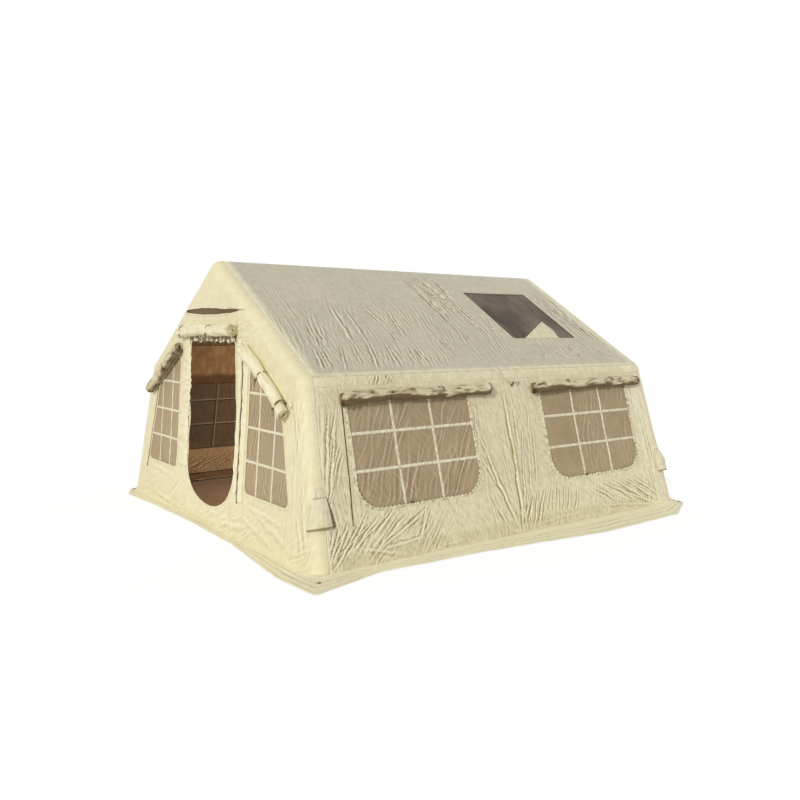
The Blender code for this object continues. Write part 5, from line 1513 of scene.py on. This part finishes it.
for end_name in ("front", "rear"):
    side, cloths, on_gable = (end_side, gable_relief, end_name == "rear"), (gable_cloth,
            lining), [end_name + "_gable_cloth"]
    vent_cut = cut_cloth(evenly(-0.46, 0.46, 0.014), evenly(vent_z - 0.045, vent_z + 0.045, 0.012),
                         lambda u, v: np.full(u.shape, 1.0))
    lay(end_name + "_vent_net", vent_cut, side, (insect_net,), None, -0.0075, 0.0008)
    upper = vent_outline[(vent_outline[:, 1] >= vent_z)][::-1]
    upper = upper[np.argsort(upper[:, 0])][1:-2]
    band(end_name + "_vent_hood_hem", upper, (-0.016, 0.004), side, cloths, 0.0012, 0.0045, (0.0, 0.006),
         (0.003, 0.05), 51, step=0.008,
         rests_on=on_gable)
    # dark strips along the slit's tails, as painted shade in the slit
    slit_shade = Strips(side)
    for start, end, wide in ((0.42, 0.50, 0.013), (0.49, 0.56, 0.008), (0.55, 0.605, 0.004), (-0.60, -0.655, 0.006)):
        slit_shade.add([(start, vent_z), (end, vent_z)], wide, 0.0004, 0.0008, stitched=False)
    slit_shade.piece(end_name + "_vent_tails", zip_tape, rests_on=on_gable)
    lower = vent_outline[(vent_outline[:, 1] <= vent_z)]
    lower = lower[np.argsort(lower[:, 0])][1:-2]
    band(end_name + "_vent_sill", lower, (-0.004, 0.012), side, cloths, 0.0010, 0.0020, seed=53, step=0.008,
         rests_on=on_gable)


# Valves: two on the right-hand legs, each a screw valve with a cap under a puffed
# cloth pocket that is pleated at its sewn top and open below and at one side, which is a sheet of brown lining
# darkened as painted shade.

leg_arc = tube_reach * math.pi / 2


def leg_wrap(s, v):
    """Round the front right-hand leg: below nought on the wall, past the arc on the gable."""
    side = arch_y + gable_lean(wall_height(v))
    points, normals = long_side(-(side + np.minimum(s, leg_arc)), v)
    points = points - np.maximum(s - leg_arc, 0)[:, None] * np.array([1.0, 0, 0])
    return points, normals


def leg_patch(name, outline_low, outline_high, v_low, v_high, stand, finishes, body, mirrored, tone, columns=34,
              rows=30):
    """Cloth round the leg between two heights, narrower or wider at the top, standing off as told."""
    t, h = np.meshgrid(np.linspace(0, 1, columns), np.linspace(0, 1, rows))
    ease = h ** 1.2
    left = outline_low[0] + (outline_high[0] - outline_low[0]) * ease
    right = outline_low[1] + (outline_high[1] - outline_low[1]) * ease
    s = left + (right - left) * t
    v = v_low + (v_high - v_low) * h
    points, normals = leg_wrap(s.ravel(), v.ravel())
    rise = stand(t, h)
    points = points + normals * rise.ravel()[:, None]
    if mirrored:
        points, normals = points * (1, -1, 1), normals * (1, -1, 1)
    wide = abs(outline_low[1] - outline_low[0] + outline_high[1] - outline_high[0]) / 2
    if body != "tent":
        sewn, free = (leg_wrap(np.array([0.02]), np.array([at]))[0][0] * (1, -1 if mirrored else 1, 1)
                      for at in (v_high - 0.002, v_high - 0.055))
        body = body, sewn, free
    return net_cloth(name, points.reshape(rows, columns, 3), normals,
                     (t * (outline_low[1] - outline_low[0]), h * (v_high - v_low)),
                     finishes, 0.0014, body, "wall_cloth", (round(wide * 1.12, 3), round(v_high - v_low, 3)),
                     "gathered",
                     ["right_" + ("rear" if mirrored else "front") + "_wall_cloth"], crease=np.clip(tone(t, h), -1, 1),
                     crumple=0.8)


def pocket_pleats(t, h):
    """Pleats that fan down from the pocket's sewn top."""
    return np.clip(1 - np.abs(noise(t * 9 + 0.6 * h, h * 1.1, 81)) * 2.6, 0, 1)


for end_name, mirrored in (("front", False), ("rear", True)):
    def open_side(t):
        return 1 - t if mirrored else t

    body = f"right_{end_name}_valve_flap"
    # painted shade along the pocket's open foot and its edge on the wall, and a painted highlight on its pleats
    pocket = leg_patch(
        body + "_pocket", (-0.052, 0.136), (-0.028, 0.072), 0.318, 0.528,
        lambda t, h: 0.0025 + 0.037 * np.sin(np.pi * np.clip(open_side(t) * 0.78 + 0.22, 0, 1)) ** 0.6 * (1
                - h) ** 0.52 + 0.013 * np.exp(-((t - 0.78) / 0.24) ** 2 - ((h - 0.50) / 0.26) ** 2)
                + (0.0050 * pocket_pleats(t, h) * (0.3 + 0.7 * h)
                   + 0.005 * noise(t * 4, h * 3, 83)) * np.sin(np.pi * t) ** 0.5,
        (wall_cloth, lining), body, mirrored, lambda t, h: 0.9 * (h < 0.035) - 0.7 * pocket_pleats(t, h) * h
        + 0.5 * (1 - step_up(t, 0.0, 0.04)))
    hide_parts(body)
    # the pocket's open side: a sheet of the brown lining, darkened further as painted shade
    leg_patch(body + "_side", (0.136, 0.174) if mirrored else (-0.090, -0.052),
              (0.072, 0.082) if mirrored else (-0.038, -0.028), 0.318, 0.524,
              lambda t, h: 0.0020 + 0.0280 * open_side(t) ** 0.8 * (1 - h) ** 0.52, (lining, lining), body, mirrored,
              lambda t, h: 0.3 + 0 * t, 8, 24)
    # painted shade and highlight along the yoke's pleats
    leg_patch(f"right_{end_name}_valve_yoke", (-0.034, 0.072), (-0.004, 0.050), 0.530, 0.596,
              lambda t, h: 0.0018 + 0.0060 * pocket_pleats(t, 1 + 0 * h) * (1 - 0.7 * h), (wall_cloth, lining), "tent",
              mirrored,
              lambda t, h: 0.35 - 1.1 * pocket_pleats(t, 1 + 0 * h), 34, 12)

valve_plastic = worn_finish("valve_plastic", (46, 44, 42), (72, 69, 64), 0.008, 4.0, 2.0, -0.6, (0.2, 0.36))
valve_plastic.set({"Normal": valve_plastic.bump(0.15, 0.0003, valve_plastic.noise(0.0008, 1.0))})
coat(valve_plastic, "right_front_valve_body", "right_rear_valve_body", "right_front_valve_cap", "right_rear_valve_cap")


# Guy rings: a steel ring on a doubled tab under each eave, beside the middle seam,
# and next to it a short tape loop with a brown toggle that ties the seam's cover.

ring_steel = worn_finish("ring_steel", (150, 146, 138), (196, 192, 184), 0.006, 4.0, 2.0, -0.5, (0.25, 0.22),
                         Metallic=1.0)
toggle_brown = worn_finish("toggle_brown", (58, 40, 24), (84, 60, 38), 0.006, 3.0, Roughness=0.4)
coat(ring_steel, "right_guy_ring", "left_guy_ring")
for side_name, turned in (("right", False), ("left", True)):
    turn = half_turn(turned)
    tab_v = np.r_[np.linspace(1.318, 1.262, 9), np.full(5, 1.256), np.linspace(1.262, 1.300, 7)]
    out = np.r_[np.linspace(0.0015, 0.0030, 9), 0.0045, 0.0072, 0.0095, 0.0118, 0.0135, np.linspace(0.0125, 0.0050, 7)]

    def strap(u, v, stand, width, thick):
        points, normals = long_side(u, v)
        return ribbon((points + normals * stand[:, None]) * turn, normals * turn, width, thick)

    tab = strap(np.full(len(tab_v), 0.165), tab_v, out, 0.020, 0.0010)
    # the toggle's loop, its little bow and the toggle
    loop_u = np.array([0.020, 0.028, 0.040, 0.052, 0.064, 0.078, 0.092, 0.100])
    loop_v = np.array([1.345, 1.322, 1.298, 1.286, 1.276, 1.264, 1.254, 1.246])
    stand = np.array([0.002, 0.008, 0.012, 0.013, 0.015, 0.014, 0.012, 0.010])
    parts = [strap(loop_u, loop_v, stand, 0.006, 0.0012)]
    for way, size in ((-1, 0.020), (1, 0.016)):
        share = np.linspace(0, 1, 11)
        u = 0.052 + way * size * np.sin(share * np.pi) * np.cos(share * 0.8)
        v = 1.288 - 0.022 * np.sin(share * np.pi) - 0.006 * np.sin(share * 2 * np.pi)
        parts.append(strap(u, v, 0.014 + 0.006 * np.sin(share * np.pi), 0.006, 0.0010))
    for part_name, (points, faces) in (("_guy_ring_tab", tab), ("_toggle_loop", joined(parts))):
        make_piece(side_name + part_name, points, faces, tape_cloth, points[:, [1, 2]], "tent", "lattice_tape",
                   crease=0.0, crumple=0.3)
    profile = [(0.0, -0.022), (0.0056, -0.0214), (0.0080, -0.0188), (0.0070, -0.013), (0.0058, -0.003),
               (0.0058, 0.003), (0.0070, 0.013), (0.0080, 0.0188), (0.0056, 0.0214), (0.0, 0.022)]
    middle, out = (each[0] for each in long_side(np.array([0.102]), np.array([1.243])))
    middle = middle + out * 0.0105
    axis = np.array([0.0, 0.72, 0.69]) - out * (out @ np.array([0.0, 0.72, 0.69]))
    axis /= np.linalg.norm(axis)
    third = np.cross(out, axis)
    ring_points, count = [], 14
    for radius, height in profile[1:-1]:
        ring_points += [middle + axis * height + (out * math.cos(a) + third * math.sin(a)) * radius
                        for a in round_turn(count)]
    ring_points += [middle + axis * profile[0][1], middle + axis * profile[-1][1]]
    rows = len(profile) - 2
    toggle_faces = ring_faces(rows - 1, count) + [((k + 1) % count, k, rows * count) for k in range(count)]
    toggle_faces += [((rows - 1) * count + k, (rows - 1) * count + (k + 1) % count, rows * count + 1)
                     for k in range(count)]
    make_piece(side_name + "_toggle", np.array(ring_points) * turn, [face[::-1] for face in toggle_faces],
               toggle_brown, body="tent", slot="valve_plastic")


# Ground skirt: a cream strip sewn round the foot of the walls and spread on the
# ground, its hem turned over twice, creased along its length, pulled out at two
# corners and tucked in at the other two. Brass eyelets take pegs at the corners.

ground_x, ground_y, skirt_reach = 1.86, 2.00, 0.25
skirt_stations = [((ground_x * a, -ground_y), (ground_x * a, -ground_y - skirt_reach * r))
                  for a, r in ((-0.86, 0.60), (-0.50, 0.40), (-0.08, 0.32), (0.40, 0.40), (0.89, 0.83))]
skirt_stations += [((ground_x, -ground_y), (ground_x + skirt_reach * 1.14, -ground_y - skirt_reach * 0.73))]
skirt_stations += [((ground_x, ground_y * a), (ground_x + skirt_reach * r, ground_y * a))
                   for a, r in ((-0.79, 0.52), (-0.31, 0.75), (0.28, 1.40), (0.79, 1.28))]
skirt_stations += [((ground_x, ground_y), (ground_x + skirt_reach * 0.32, ground_y + skirt_reach * 0.14))]
skirt_stations = np.array(skirt_stations
                          + [tuple(tuple(-c for c in point) for point in station) for station in skirt_stations])
skirt_stations[-1, 1] = (-ground_x + 0.05, -ground_y - 0.062)
looped = np.concatenate([skirt_stations, skirt_stations[:1]])
gone = np.r_[0, np.cumsum(np.linalg.norm(np.diff(looped.mean(1), axis=0), axis=1))]
skirt_rows = int(gone[-1] / 0.0175)
marks = np.linspace(0, gone[-1], skirt_rows, endpoint=False)
foot_line = np.stack([np.interp(marks, gone, looped[:, 0, k]) for k in (0, 1)], -1)
border = np.stack([np.interp(marks, gone, looped[:, 1, k]) for k in (0, 1)], -1)
for _ in range(2):
    border = (np.roll(border, 1, 0) + 2 * border + np.roll(border, -1, 0)) / 4
corner_hub = np.sign(foot_line) * (ground_x - 0.10, ground_y - 0.10)
from_hub = foot_line - corner_hub
far = np.linalg.norm(from_hub, axis=1)
at_corner = (np.abs(foot_line[:, 0]) > ground_x - 0.10) & (np.abs(foot_line[:, 1]) > ground_y - 0.10)
foot_line[at_corner] = (corner_hub + from_hub * (0.085 / np.maximum(far, 0.085))[:, None])[at_corner]
foot_line[~at_corner] *= (1 - 0.015 / np.abs(foot_line).max(1))[~at_corner][:, None]
away = border - foot_line
reach = np.linalg.norm(away, axis=1)
border = border + away / reach[:, None] \
    * (0.007 * noise(marks / 0.12, 0 * marks, 61) + 0.004 * noise(marks / 0.035, 0 * marks, 62) - 0.003)[:, None]
# across the skirt from its border: how far in, how high, and the painted shade of its fold lines, with painted
# highlight where it is below nought
skirt_profile = np.array([
    (0.000, 0.0036, 0.6), (0.002, 0.0062, 0.1), (0.008, 0.0084, -0.4), (0.015, 0.0080, -0.1), (0.018, 0.0050, 1.0),
    (0.021, 0.0072, 0.2), (0.036, 0.0082, 0.0),
    (0.052, 0.0120, -0.5), (0.058, 0.0130, -0.3), (0.0615, 0.0062, 1.0), (0.066, 0.0064, 0.35), (0.085, 0.0080, 0.0),
    (0.104, 0.0110, -0.4), (0.110, 0.0112, -0.1),
    (0.1135, 0.0060, 0.9), (0.118, 0.0064, 0.25), (0.138, 0.0078, 0.0), (0.158, 0.0084, -0.1), (0.178, 0.0105, 0.0),
    (0.200, 0.0190, -0.1)])
part = skirt_profile[:, 0] / 0.200
fade = np.clip(0.55 + 1.5 * np.stack([noise(marks / 0.45, 0 * marks + 3 * i, 63) for i in range(20)], -1), 0.15, 1.0)
run_net, part_net = np.meshgrid(marks, part, indexing="ij")
sway = 0.05 * noise(run_net / 0.30, 0 * run_net, 64) * np.sin(np.pi * part_net)
reach_in = np.clip(part_net + sway, 0, 1)[..., None]
level = 0.0075 + (skirt_profile[:, 1] - 0.0075) * np.where((np.arange(20) < 4) | (np.arange(20) > 17), 1.0, fade)
level = level + 0.0050 * np.clip(noise(run_net / 0.05 + part_net, part_net * 3, 65), -0.4, 1) \
    * np.sin(np.pi * np.clip(part_net, 0, 1)) + 0.004 * np.clip(noise(run_net / 0.30, part_net * 2, 66), 0, 1)
flat_spot = border[:, None] + (foot_line - border)[:, None] * reach_in
skirt_points = np.concatenate([flat_spot, np.maximum(level, 0.0034)[..., None]], -1)
skirt_points = np.concatenate([skirt_points, skirt_points[:1]])
skirt_flat = np.stack([np.r_[marks, gone[-1]][:, None] + 0 * part, 0.22 * part + 0 * np.r_[marks, 0][:, None]],
                      -1).reshape(-1, 2)
tone = skirt_profile[:, 2] * np.concatenate([fade, fade[:1]]) + 0 * skirt_points[..., 0]
points = skirt_points.reshape(-1, 3)
faces = net_faces(skirt_rows + 1, 20, points, np.tile([0.0, 0, 1], (len(points), 1)))
faces = np.where(faces >= skirt_rows * 20, faces - skirt_rows * 20, faces)
keep = skirt_rows * 20
# the skirt's cloth is paler than the walls' as painted light, to make up for the weak light on flat ground
skirt_cloth = cloth_finish("skirt_cloth", (250, 242, 205), (142, 118, 74), (255, 250, 224), (244, 235, 196), 0.64, 0.5,
                           (0.012, 0.10), soil=0.0)
skirt = make_piece("ground_skirt_cloth", points[:keep], faces, (skirt_cloth,), skirt_flat[:keep], None,
                   crease=np.clip(tone.reshape(-1)[:keep], -1, 1), crumple=0.7)
thicken(skirt, 0.0012)
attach(skirt, "tent")
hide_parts("ground_skirt")

eyelet_points, eyelet_faces = [], []
for x, y in ((1.965, -2.045), (-1.965, 2.045), (1.90, 2.010), (-1.795, -2.028)):
    base, around, across_ring = len(eyelet_points), 22, 7
    for a in round_turn(around):
        for b in round_turn(across_ring):
            wide = 0.0105 + 0.0035 * math.cos(b)
            eyelet_points.append((x + wide * math.cos(a), y + wide * math.sin(a), 0.0138 + 0.0022 * math.sin(b)))
    for i in range(around):
        for k in range(across_ring):
            eyelet_faces.append((base + i * across_ring + k, base + (i + 1) % around * across_ring + k,
                                 base + (i + 1) % around * across_ring + (k + 1) % across_ring,
                                 base + i * across_ring + (k + 1) % across_ring))
make_piece("skirt_eyelets", eyelet_points, eyelet_faces, zip_metal, body="tent", slot="zip_metal")
# dark discs in the eyelets' holes, as painted shade
eyelet_shade_points, eyelet_shade_faces = [], []
for x, y in ((1.965, -2.045), (-1.965, 2.045), (1.90, 2.010), (-1.795, -2.028)):
    base = len(eyelet_shade_points)
    for height in (0.0120, 0.0134):
        eyelet_shade_points += [(x + 0.0080 * math.cos(a), y + 0.0080 * math.sin(a), height) for a in round_turn(16)]
    eyelet_shade_faces += [tuple(base + k for k in range(15, -1, -1)), tuple(base + 16 + k for k in range(16))]
    eyelet_shade_faces += ring_faces(1, 16, base)
make_piece("skirt_eyelet_backs", eyelet_shade_points, eyelet_shade_faces, zip_tape, np.array(eyelet_shade_points)[:, :2], "tent",
           "groundsheet_cloth", crease=0.9, crumple=0.0)


# Groundsheet: heavy brown coated cloth under the whole tent, turned up a hand's
# width inside the walls, where a pale tape covers its seam.

floor_cloth = cloth_finish("groundsheet_cloth", (124, 92, 58), (92, 66, 40), (150, 116, 76), (112, 82, 50), 0.5, 0.5,
                           (0.03, 0.20), 0.002)


def floor_room(x, y):
    past_x, past_y = np.abs(x) - (ground_x - tube_reach), np.abs(y) - (ground_y - tube_reach)
    return tube_reach - 0.003 - np.where((past_x > 0) & (past_y > 0), np.hypot(past_x, past_y),
                                         np.maximum(past_x, past_y))


floor_flat, floor_faces = cut_cloth(evenly(-1.88, 1.88, 0.045), evenly(-2.02, 2.02, 0.045), floor_room)
swell = np.clip(noise(floor_flat[:, 0] / 0.5, floor_flat[:, 1] / 0.4, 67), 0, 1) * 0.006
floor_points = np.concatenate([floor_flat,
                               (0.0030 + swell * step_up(floor_room(floor_flat[:, 0], floor_flat[:, 1]), 0, 0.2))[:,
                                       None]], -1)
sheet = make_piece("groundsheet_cloth", floor_points, floor_faces, (floor_cloth,), floor_flat, None,
                   crease=swell / 0.012 - 0.1, crumple=0.5)
thicken(sheet, 0.0022)
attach(sheet, "tent")
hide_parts("groundsheet")
declare(floor_flat, floor_faces)
for side_name, place, relief, turned in (("right", long_side, wall_relief, False),
                                         ("left", long_side, wall_relief, True),
                                         ("front", end_side, gable_relief, False),
                                         ("rear", end_side, gable_relief, True)):
    reach_out = 1.88 if place is long_side else 1.70
    rim_cut = cut_cloth(evenly(-reach_out, reach_out, 0.02), evenly(0.001, 0.105, 0.02),
                        lambda u, v: np.full(u.shape, 1.0))
    side = place, relief, turned
    lay(side_name + "_groundsheet_rim", rim_cut, side, (floor_cloth,),
        None, -0.0042, 0.0010)
    cover = Strips(side)
    cover.add([(-reach_out, 0.108), (reach_out, 0.108)], 0.024, -0.0072, 0.0016, stitched=False)
    cover.piece(side_name + "_rim_tape", cover_lining, rests_on=[side_name + "_groundsheet_rim"])


# Eave linings: a brown sheet inside each eave, from the wall over the beam's
# sleeve to the roof, so that the beam shows inside only as a soft swelling.

def tangent(spot, hub, radius, side):
    """The angle at which a line from a spot touches a circle."""
    far = spot - hub
    return math.atan2(far[1], far[0]) + side * math.acos(radius / np.linalg.norm(far))


for side_name, side in (("right", 1), ("left", -1)):
    for end_name, low, high in (("front", -1.70, -0.12), ("rear", 0.12, 1.70)):
        hub = np.array([eave_x, eave_z])
        on_wall, on_roof = (long_side(np.array([1.0]), np.array([v]))[0][0][[0, 2]]
                            - long_side(np.array([1.0]), np.array([v]))[1][0][[0, 2]] * 0.006 for v in (1.13, 1.70))
        start, end = tangent(on_wall, hub, tube_radius + 0.003, -1) % (2 * math.pi), tangent(on_roof, hub,
                tube_radius + 0.003, 1) % (2 * math.pi)
        arc = np.linspace(start, end, 14)
        line = np.vstack([on_wall, hub + np.stack([np.cos(arc), np.sin(arc)], -1) * (tube_radius + 0.003), on_roof])
        line = paced(line, 0.016)
        ys = np.linspace(low, high, 110)
        run, part = np.meshgrid(ys, np.arange(len(line)), indexing="ij")
        wrinkle = 0.004 * np.clip(noise(run / 0.05, part / 9, 91) + 0.1, 0, 1)
        inward = np.gradient(line, axis=0)
        inward = np.stack([inward[:, 1], -inward[:, 0]], -1) / np.linalg.norm(inward, axis=1)[:, None]
        inward *= np.sign(((hub * (0.5, 0.6) - line) * inward).sum(1))[:, None]
        spot = line[None] + inward[None] * wrinkle[..., None]
        net = np.stack([side * spot[..., 0], run, spot[..., 1]], -1)
        ways = np.stack([side * inward[:, 0], 0 * inward[:, 0], inward[:, 1]], -1)
        # a painted highlight where the lining's wrinkles stand out
        net_cloth(f"{side_name}_{end_name}_eave_lining", net, np.tile(ways, (110, 1)), (run, part * 0.016), (lining,),
                  0.0010, "tent",
                  "wall_cloth", (round(high - low, 3), round(0.016 * (len(line) - 1), 3)), "stretched",
                  [f"{side_name}_eave_air_beam_{end_name}"], crease=-wrinkle / 0.006, crumple=0.5)


# Seams: a narrow felled strip of the cloth's own colour over each, sewn down both
# sides. The stitches of seams, hems and tapes are rows of beads of thread.

def sewn_seams(name, side, finish, slot, rests_on, *seams):
    """Straight seams: from where to where, how wide, how far off the cloth, how thick and how wavy."""
    tapes = Strips(side)
    for start, end, *sizes in seams:
        tapes.add([start, end], *sizes)
    tapes.piece(name, finish, slot=slot, rests_on=[rests_on])


for side_name, turned in (("right", False), ("left", True)):
    side = long_side, wall_relief, turned
    sewn_seams(side_name + "_wall_seams", side, wall_cloth, "wall_cloth", side_name + "_front_wall_cloth",
               ((-1.80, eave_seam), (1.80, eave_seam), 0.016, 0.0004, 0.0014),
               ((-1.80, 1.296), (1.80, 1.296), 0.010, 0.0004, 0.0012),
               ((0.0, 0.03), (0.0, eave_seam), 0.022, 0.0004, 0.0018),
               ((-1.575, 0.36), (-1.570, 1.20), 0.012, 0.0006, 0.0022, 0.004),
               ((-0.352, 0.10), (-0.350, 1.22), 0.008, 0.0003, 0.0010),
               ((1.655, 0.10), (1.650, 1.22), 0.010, 0.0003, 0.0012))
    sewn_seams(side_name + "_roof_seam", (long_side, roof_relief, turned), roof_cloth, "roof_cloth",
               side_name + "_front_roof_cloth",
               ((0.0, eave_seam), (0.0, ridge_line - 0.01), 0.022, 0.0004, 0.0018))
    zip_on_cloth(side_name + "_wall_zip", [(-1.655, 0.30), (-1.640, 0.52), (-1.606, 1.185)], side, 0.010, zip_tape,
                 tooth=0.0028)
    if not turned:
        frame_tape = Strips(right_roof)
        frame_tape.add(grown_outline(light_outline, 0.007), 0.020, 0.0003, 0.0014, closed=True)
        frame_tape.piece("skylight_hem", roof_cloth, slot="roof_cloth", rests_on=["right_rear_roof_cloth"])
    tags = Strips(side)
    tags.add([(-1.142, 0.402), (-1.102, 0.402)], 0.016, 0.0024, 0.0024, stitched=False)
    tags.add([(0.809, 0.400), (0.849, 0.400)], 0.016, 0.0024, 0.0024, stitched=False)
    tags.piece(side_name + "_window_tabs", zip_tape, rests_on=[side_name + "_front_window_hem"])
corner_v = np.arange(0.02, ridge_line - 0.004, 0.012)
corner_z = wall_height(corner_v) + np.clip(corner_v - wall_straight - eave_arc, 0, roof_straight) \
    * math.sin(roof_pitch)
for side_name, turned in (("right", False), ("left", True)):
    corners = Strips((long_side, lambda u, v: (0 * u, 0 * u + 0.3), turned), 0.2)
    for sign in (-1, 1):
        corners.add(np.stack([sign * (arch_y + gable_lean(corner_z) - 0.001), corner_v], -1), 0.018, 0.0004, 0.0006,
                    stitched=False)
    corners.piece(side_name + "_corner_seams", gable_cloth, slot="gable_cloth",
                  rests_on=[side_name + "_front_wall_cloth"])
for end_name, turned in (("front", False), ("rear", True)):
    sewn_seams(end_name + "_gable_seams", (end_side, gable_relief, turned), gable_cloth, "gable_cloth",
               end_name + "_gable_cloth",
               ((0.483, 0.270), (0.476, 0.03), 0.014, 0.0003, 0.0012),
               ((-0.47, 0.270), (-0.47, 0.03), 0.014, 0.0003, 0.0012),
               ((0.70, 0.10), (0.70, 0.37), 0.010, 0.0003, 0.0010))

dash_white = worn_finish("tape_dashes", (255, 250, 232), (238, 230, 204), 0.02, Roughness=0.7)
bead_rows("window_tape_dashes", dashes, 0.034, (0.019, 0.013, 0.0014), dash_white)
bead_rows("window_hem_tacks", tacks, 0.036, (0.020, 0.0085, 0.0030), toggle_brown)
lengths = [float(np.linalg.norm(np.diff(row[0], axis=0), axis=1).sum()) for row in seam_lines]
batch, total, batches = [], 0.0, []
for row, long in zip(seam_lines, lengths):
    if total + long > 55:
        batches.append(batch)
        batch, total = [], 0.0
    batch.append(row)
    total += long
batches.append(batch)
for number, batch in enumerate(batches):
    bead_rows(f"stitches_{number + 1}", batch, 0.0145, (0.0092, 0.0011, 0.0010), thread_finish)


# Studio: a plain pale floor, one broad soft lamp from the front left, an even
# sky, and a camera where the photograph was taken.

ground = bpy.data.meshes.new("studio_floor")
ground.from_pydata([(-30, -30, -0.002), (30, -30, -0.002), (30, 30, -0.002), (-30, 30, -0.002)], [], [(0, 1, 2, 3)])
floor = bpy.data.objects.new("studio_floor", ground)
scene.collection.objects.link(floor)
floor_finish = bpy.data.materials.new("studio_floor")
floor_finish.use_nodes = True
ground.materials.append(floor_finish)
nodes, links = floor_finish.node_tree.nodes, floor_finish.node_tree.links
base = nodes["Principled BSDF"]
base.inputs["Base Color"].default_value = (0.90, 0.90, 0.90, 1)
base.inputs["Roughness"].default_value = 0.95
base.inputs["Specular IOR Level"].default_value = 0.0
white = nodes.new("ShaderNodeEmission")
white.inputs["Strength"].default_value = 1.12   # brings the floor that no shadow falls on to white
seen = nodes.new("ShaderNodeLightPath")
part = nodes.new("ShaderNodeMath")
part.operation = "MULTIPLY"
part.inputs[1].default_value = 0.72
paler = nodes.new("ShaderNodeMixShader")
for start, end in ((seen.outputs["Is Camera Ray"], part.inputs[0]), (part.outputs[0], paler.inputs[0]),
                   (base.outputs[0], paler.inputs[1]), (white.outputs[0], paler.inputs[2]),
                   (paler.outputs[0], nodes["Material Output"].inputs["Surface"])):
    links.new(start, end)

world = bpy.data.worlds.new("studio_sky")
scene.world = world
world.use_nodes = True
nodes, links = world.node_tree.nodes, world.node_tree.links
even_light = nodes["Background"]
even_light.inputs["Color"].default_value = (0.97, 0.985, 1.0, 1)
even_light.inputs["Strength"].default_value = 0.56
backdrop = nodes.new("ShaderNodeBackground")
backdrop.inputs["Color"].default_value = (1, 1, 1, 1)
rays = nodes.new("ShaderNodeLightPath")
either, both = nodes.new("ShaderNodeMath"), nodes.new("ShaderNodeMath")
either.operation = both.operation = "MAXIMUM"
chosen = nodes.new("ShaderNodeMixShader")
for start, end in ((rays.outputs["Is Camera Ray"], either.inputs[0]),
                   (rays.outputs["Is Glossy Ray"], either.inputs[1]),
                   (either.outputs[0], both.inputs[0]), (rays.outputs["Is Transmission Ray"], both.inputs[1]),
                   (both.outputs[0], chosen.inputs[0]), (even_light.outputs[0], chosen.inputs[1]),
                   (backdrop.outputs[0], chosen.inputs[2]),
                   (chosen.outputs[0], nodes["World Output"].inputs["Surface"])):
    links.new(start, end)

lamp_data = bpy.data.lights.new("key_lamp", "SUN")
lamp_data.energy = 1.75
lamp_data.angle = math.radians(9)
lamp_data.color = (1.0, 0.985, 0.95)
lamp = bpy.data.objects.new("key_lamp", lamp_data)
lamp.rotation_euler = Vector((-0.50, 0.80, -0.36)).to_track_quat("-Z", "Y").to_euler()
scene.collection.objects.link(lamp)

glow_data = bpy.data.lights.new("inside_lamp", "AREA")
glow_data.shape = "RECTANGLE"
glow_data.size, glow_data.size_y = 0.7, 2.6
glow_data.energy = 92
glow = bpy.data.objects.new("inside_lamp", glow_data)
glow.location = (0, 0, 1.72)
glow.visible_camera = False
scene.collection.objects.link(glow)

camera_data = bpy.data.cameras.new("camera")
camera_data.sensor_width = 36
camera_data.lens = 781.7 * 36 / 800
camera_data.clip_end = 200
camera = bpy.data.objects.new("camera", camera_data)
scene.collection.objects.link(camera)
yaw, pitch, roll = math.radians(53.36), math.radians(5.06), math.radians(0.10)
facing = Vector((-math.sin(yaw) * math.cos(pitch), math.cos(yaw) * math.cos(pitch), -math.sin(pitch)))
across = Vector((math.cos(yaw), math.sin(yaw), 0))
upward = across.cross(facing)
right = across * math.cos(roll) + upward * math.sin(roll)
upward = upward * math.cos(roll) - across * math.sin(roll)
camera.matrix_world = Matrix.Translation((6.252, -4.581, 1.646)) @ Matrix((right, upward,
        -facing)).transposed().to_4x4()
scene.camera = camera
scene.view_settings.view_transform = "Standard"
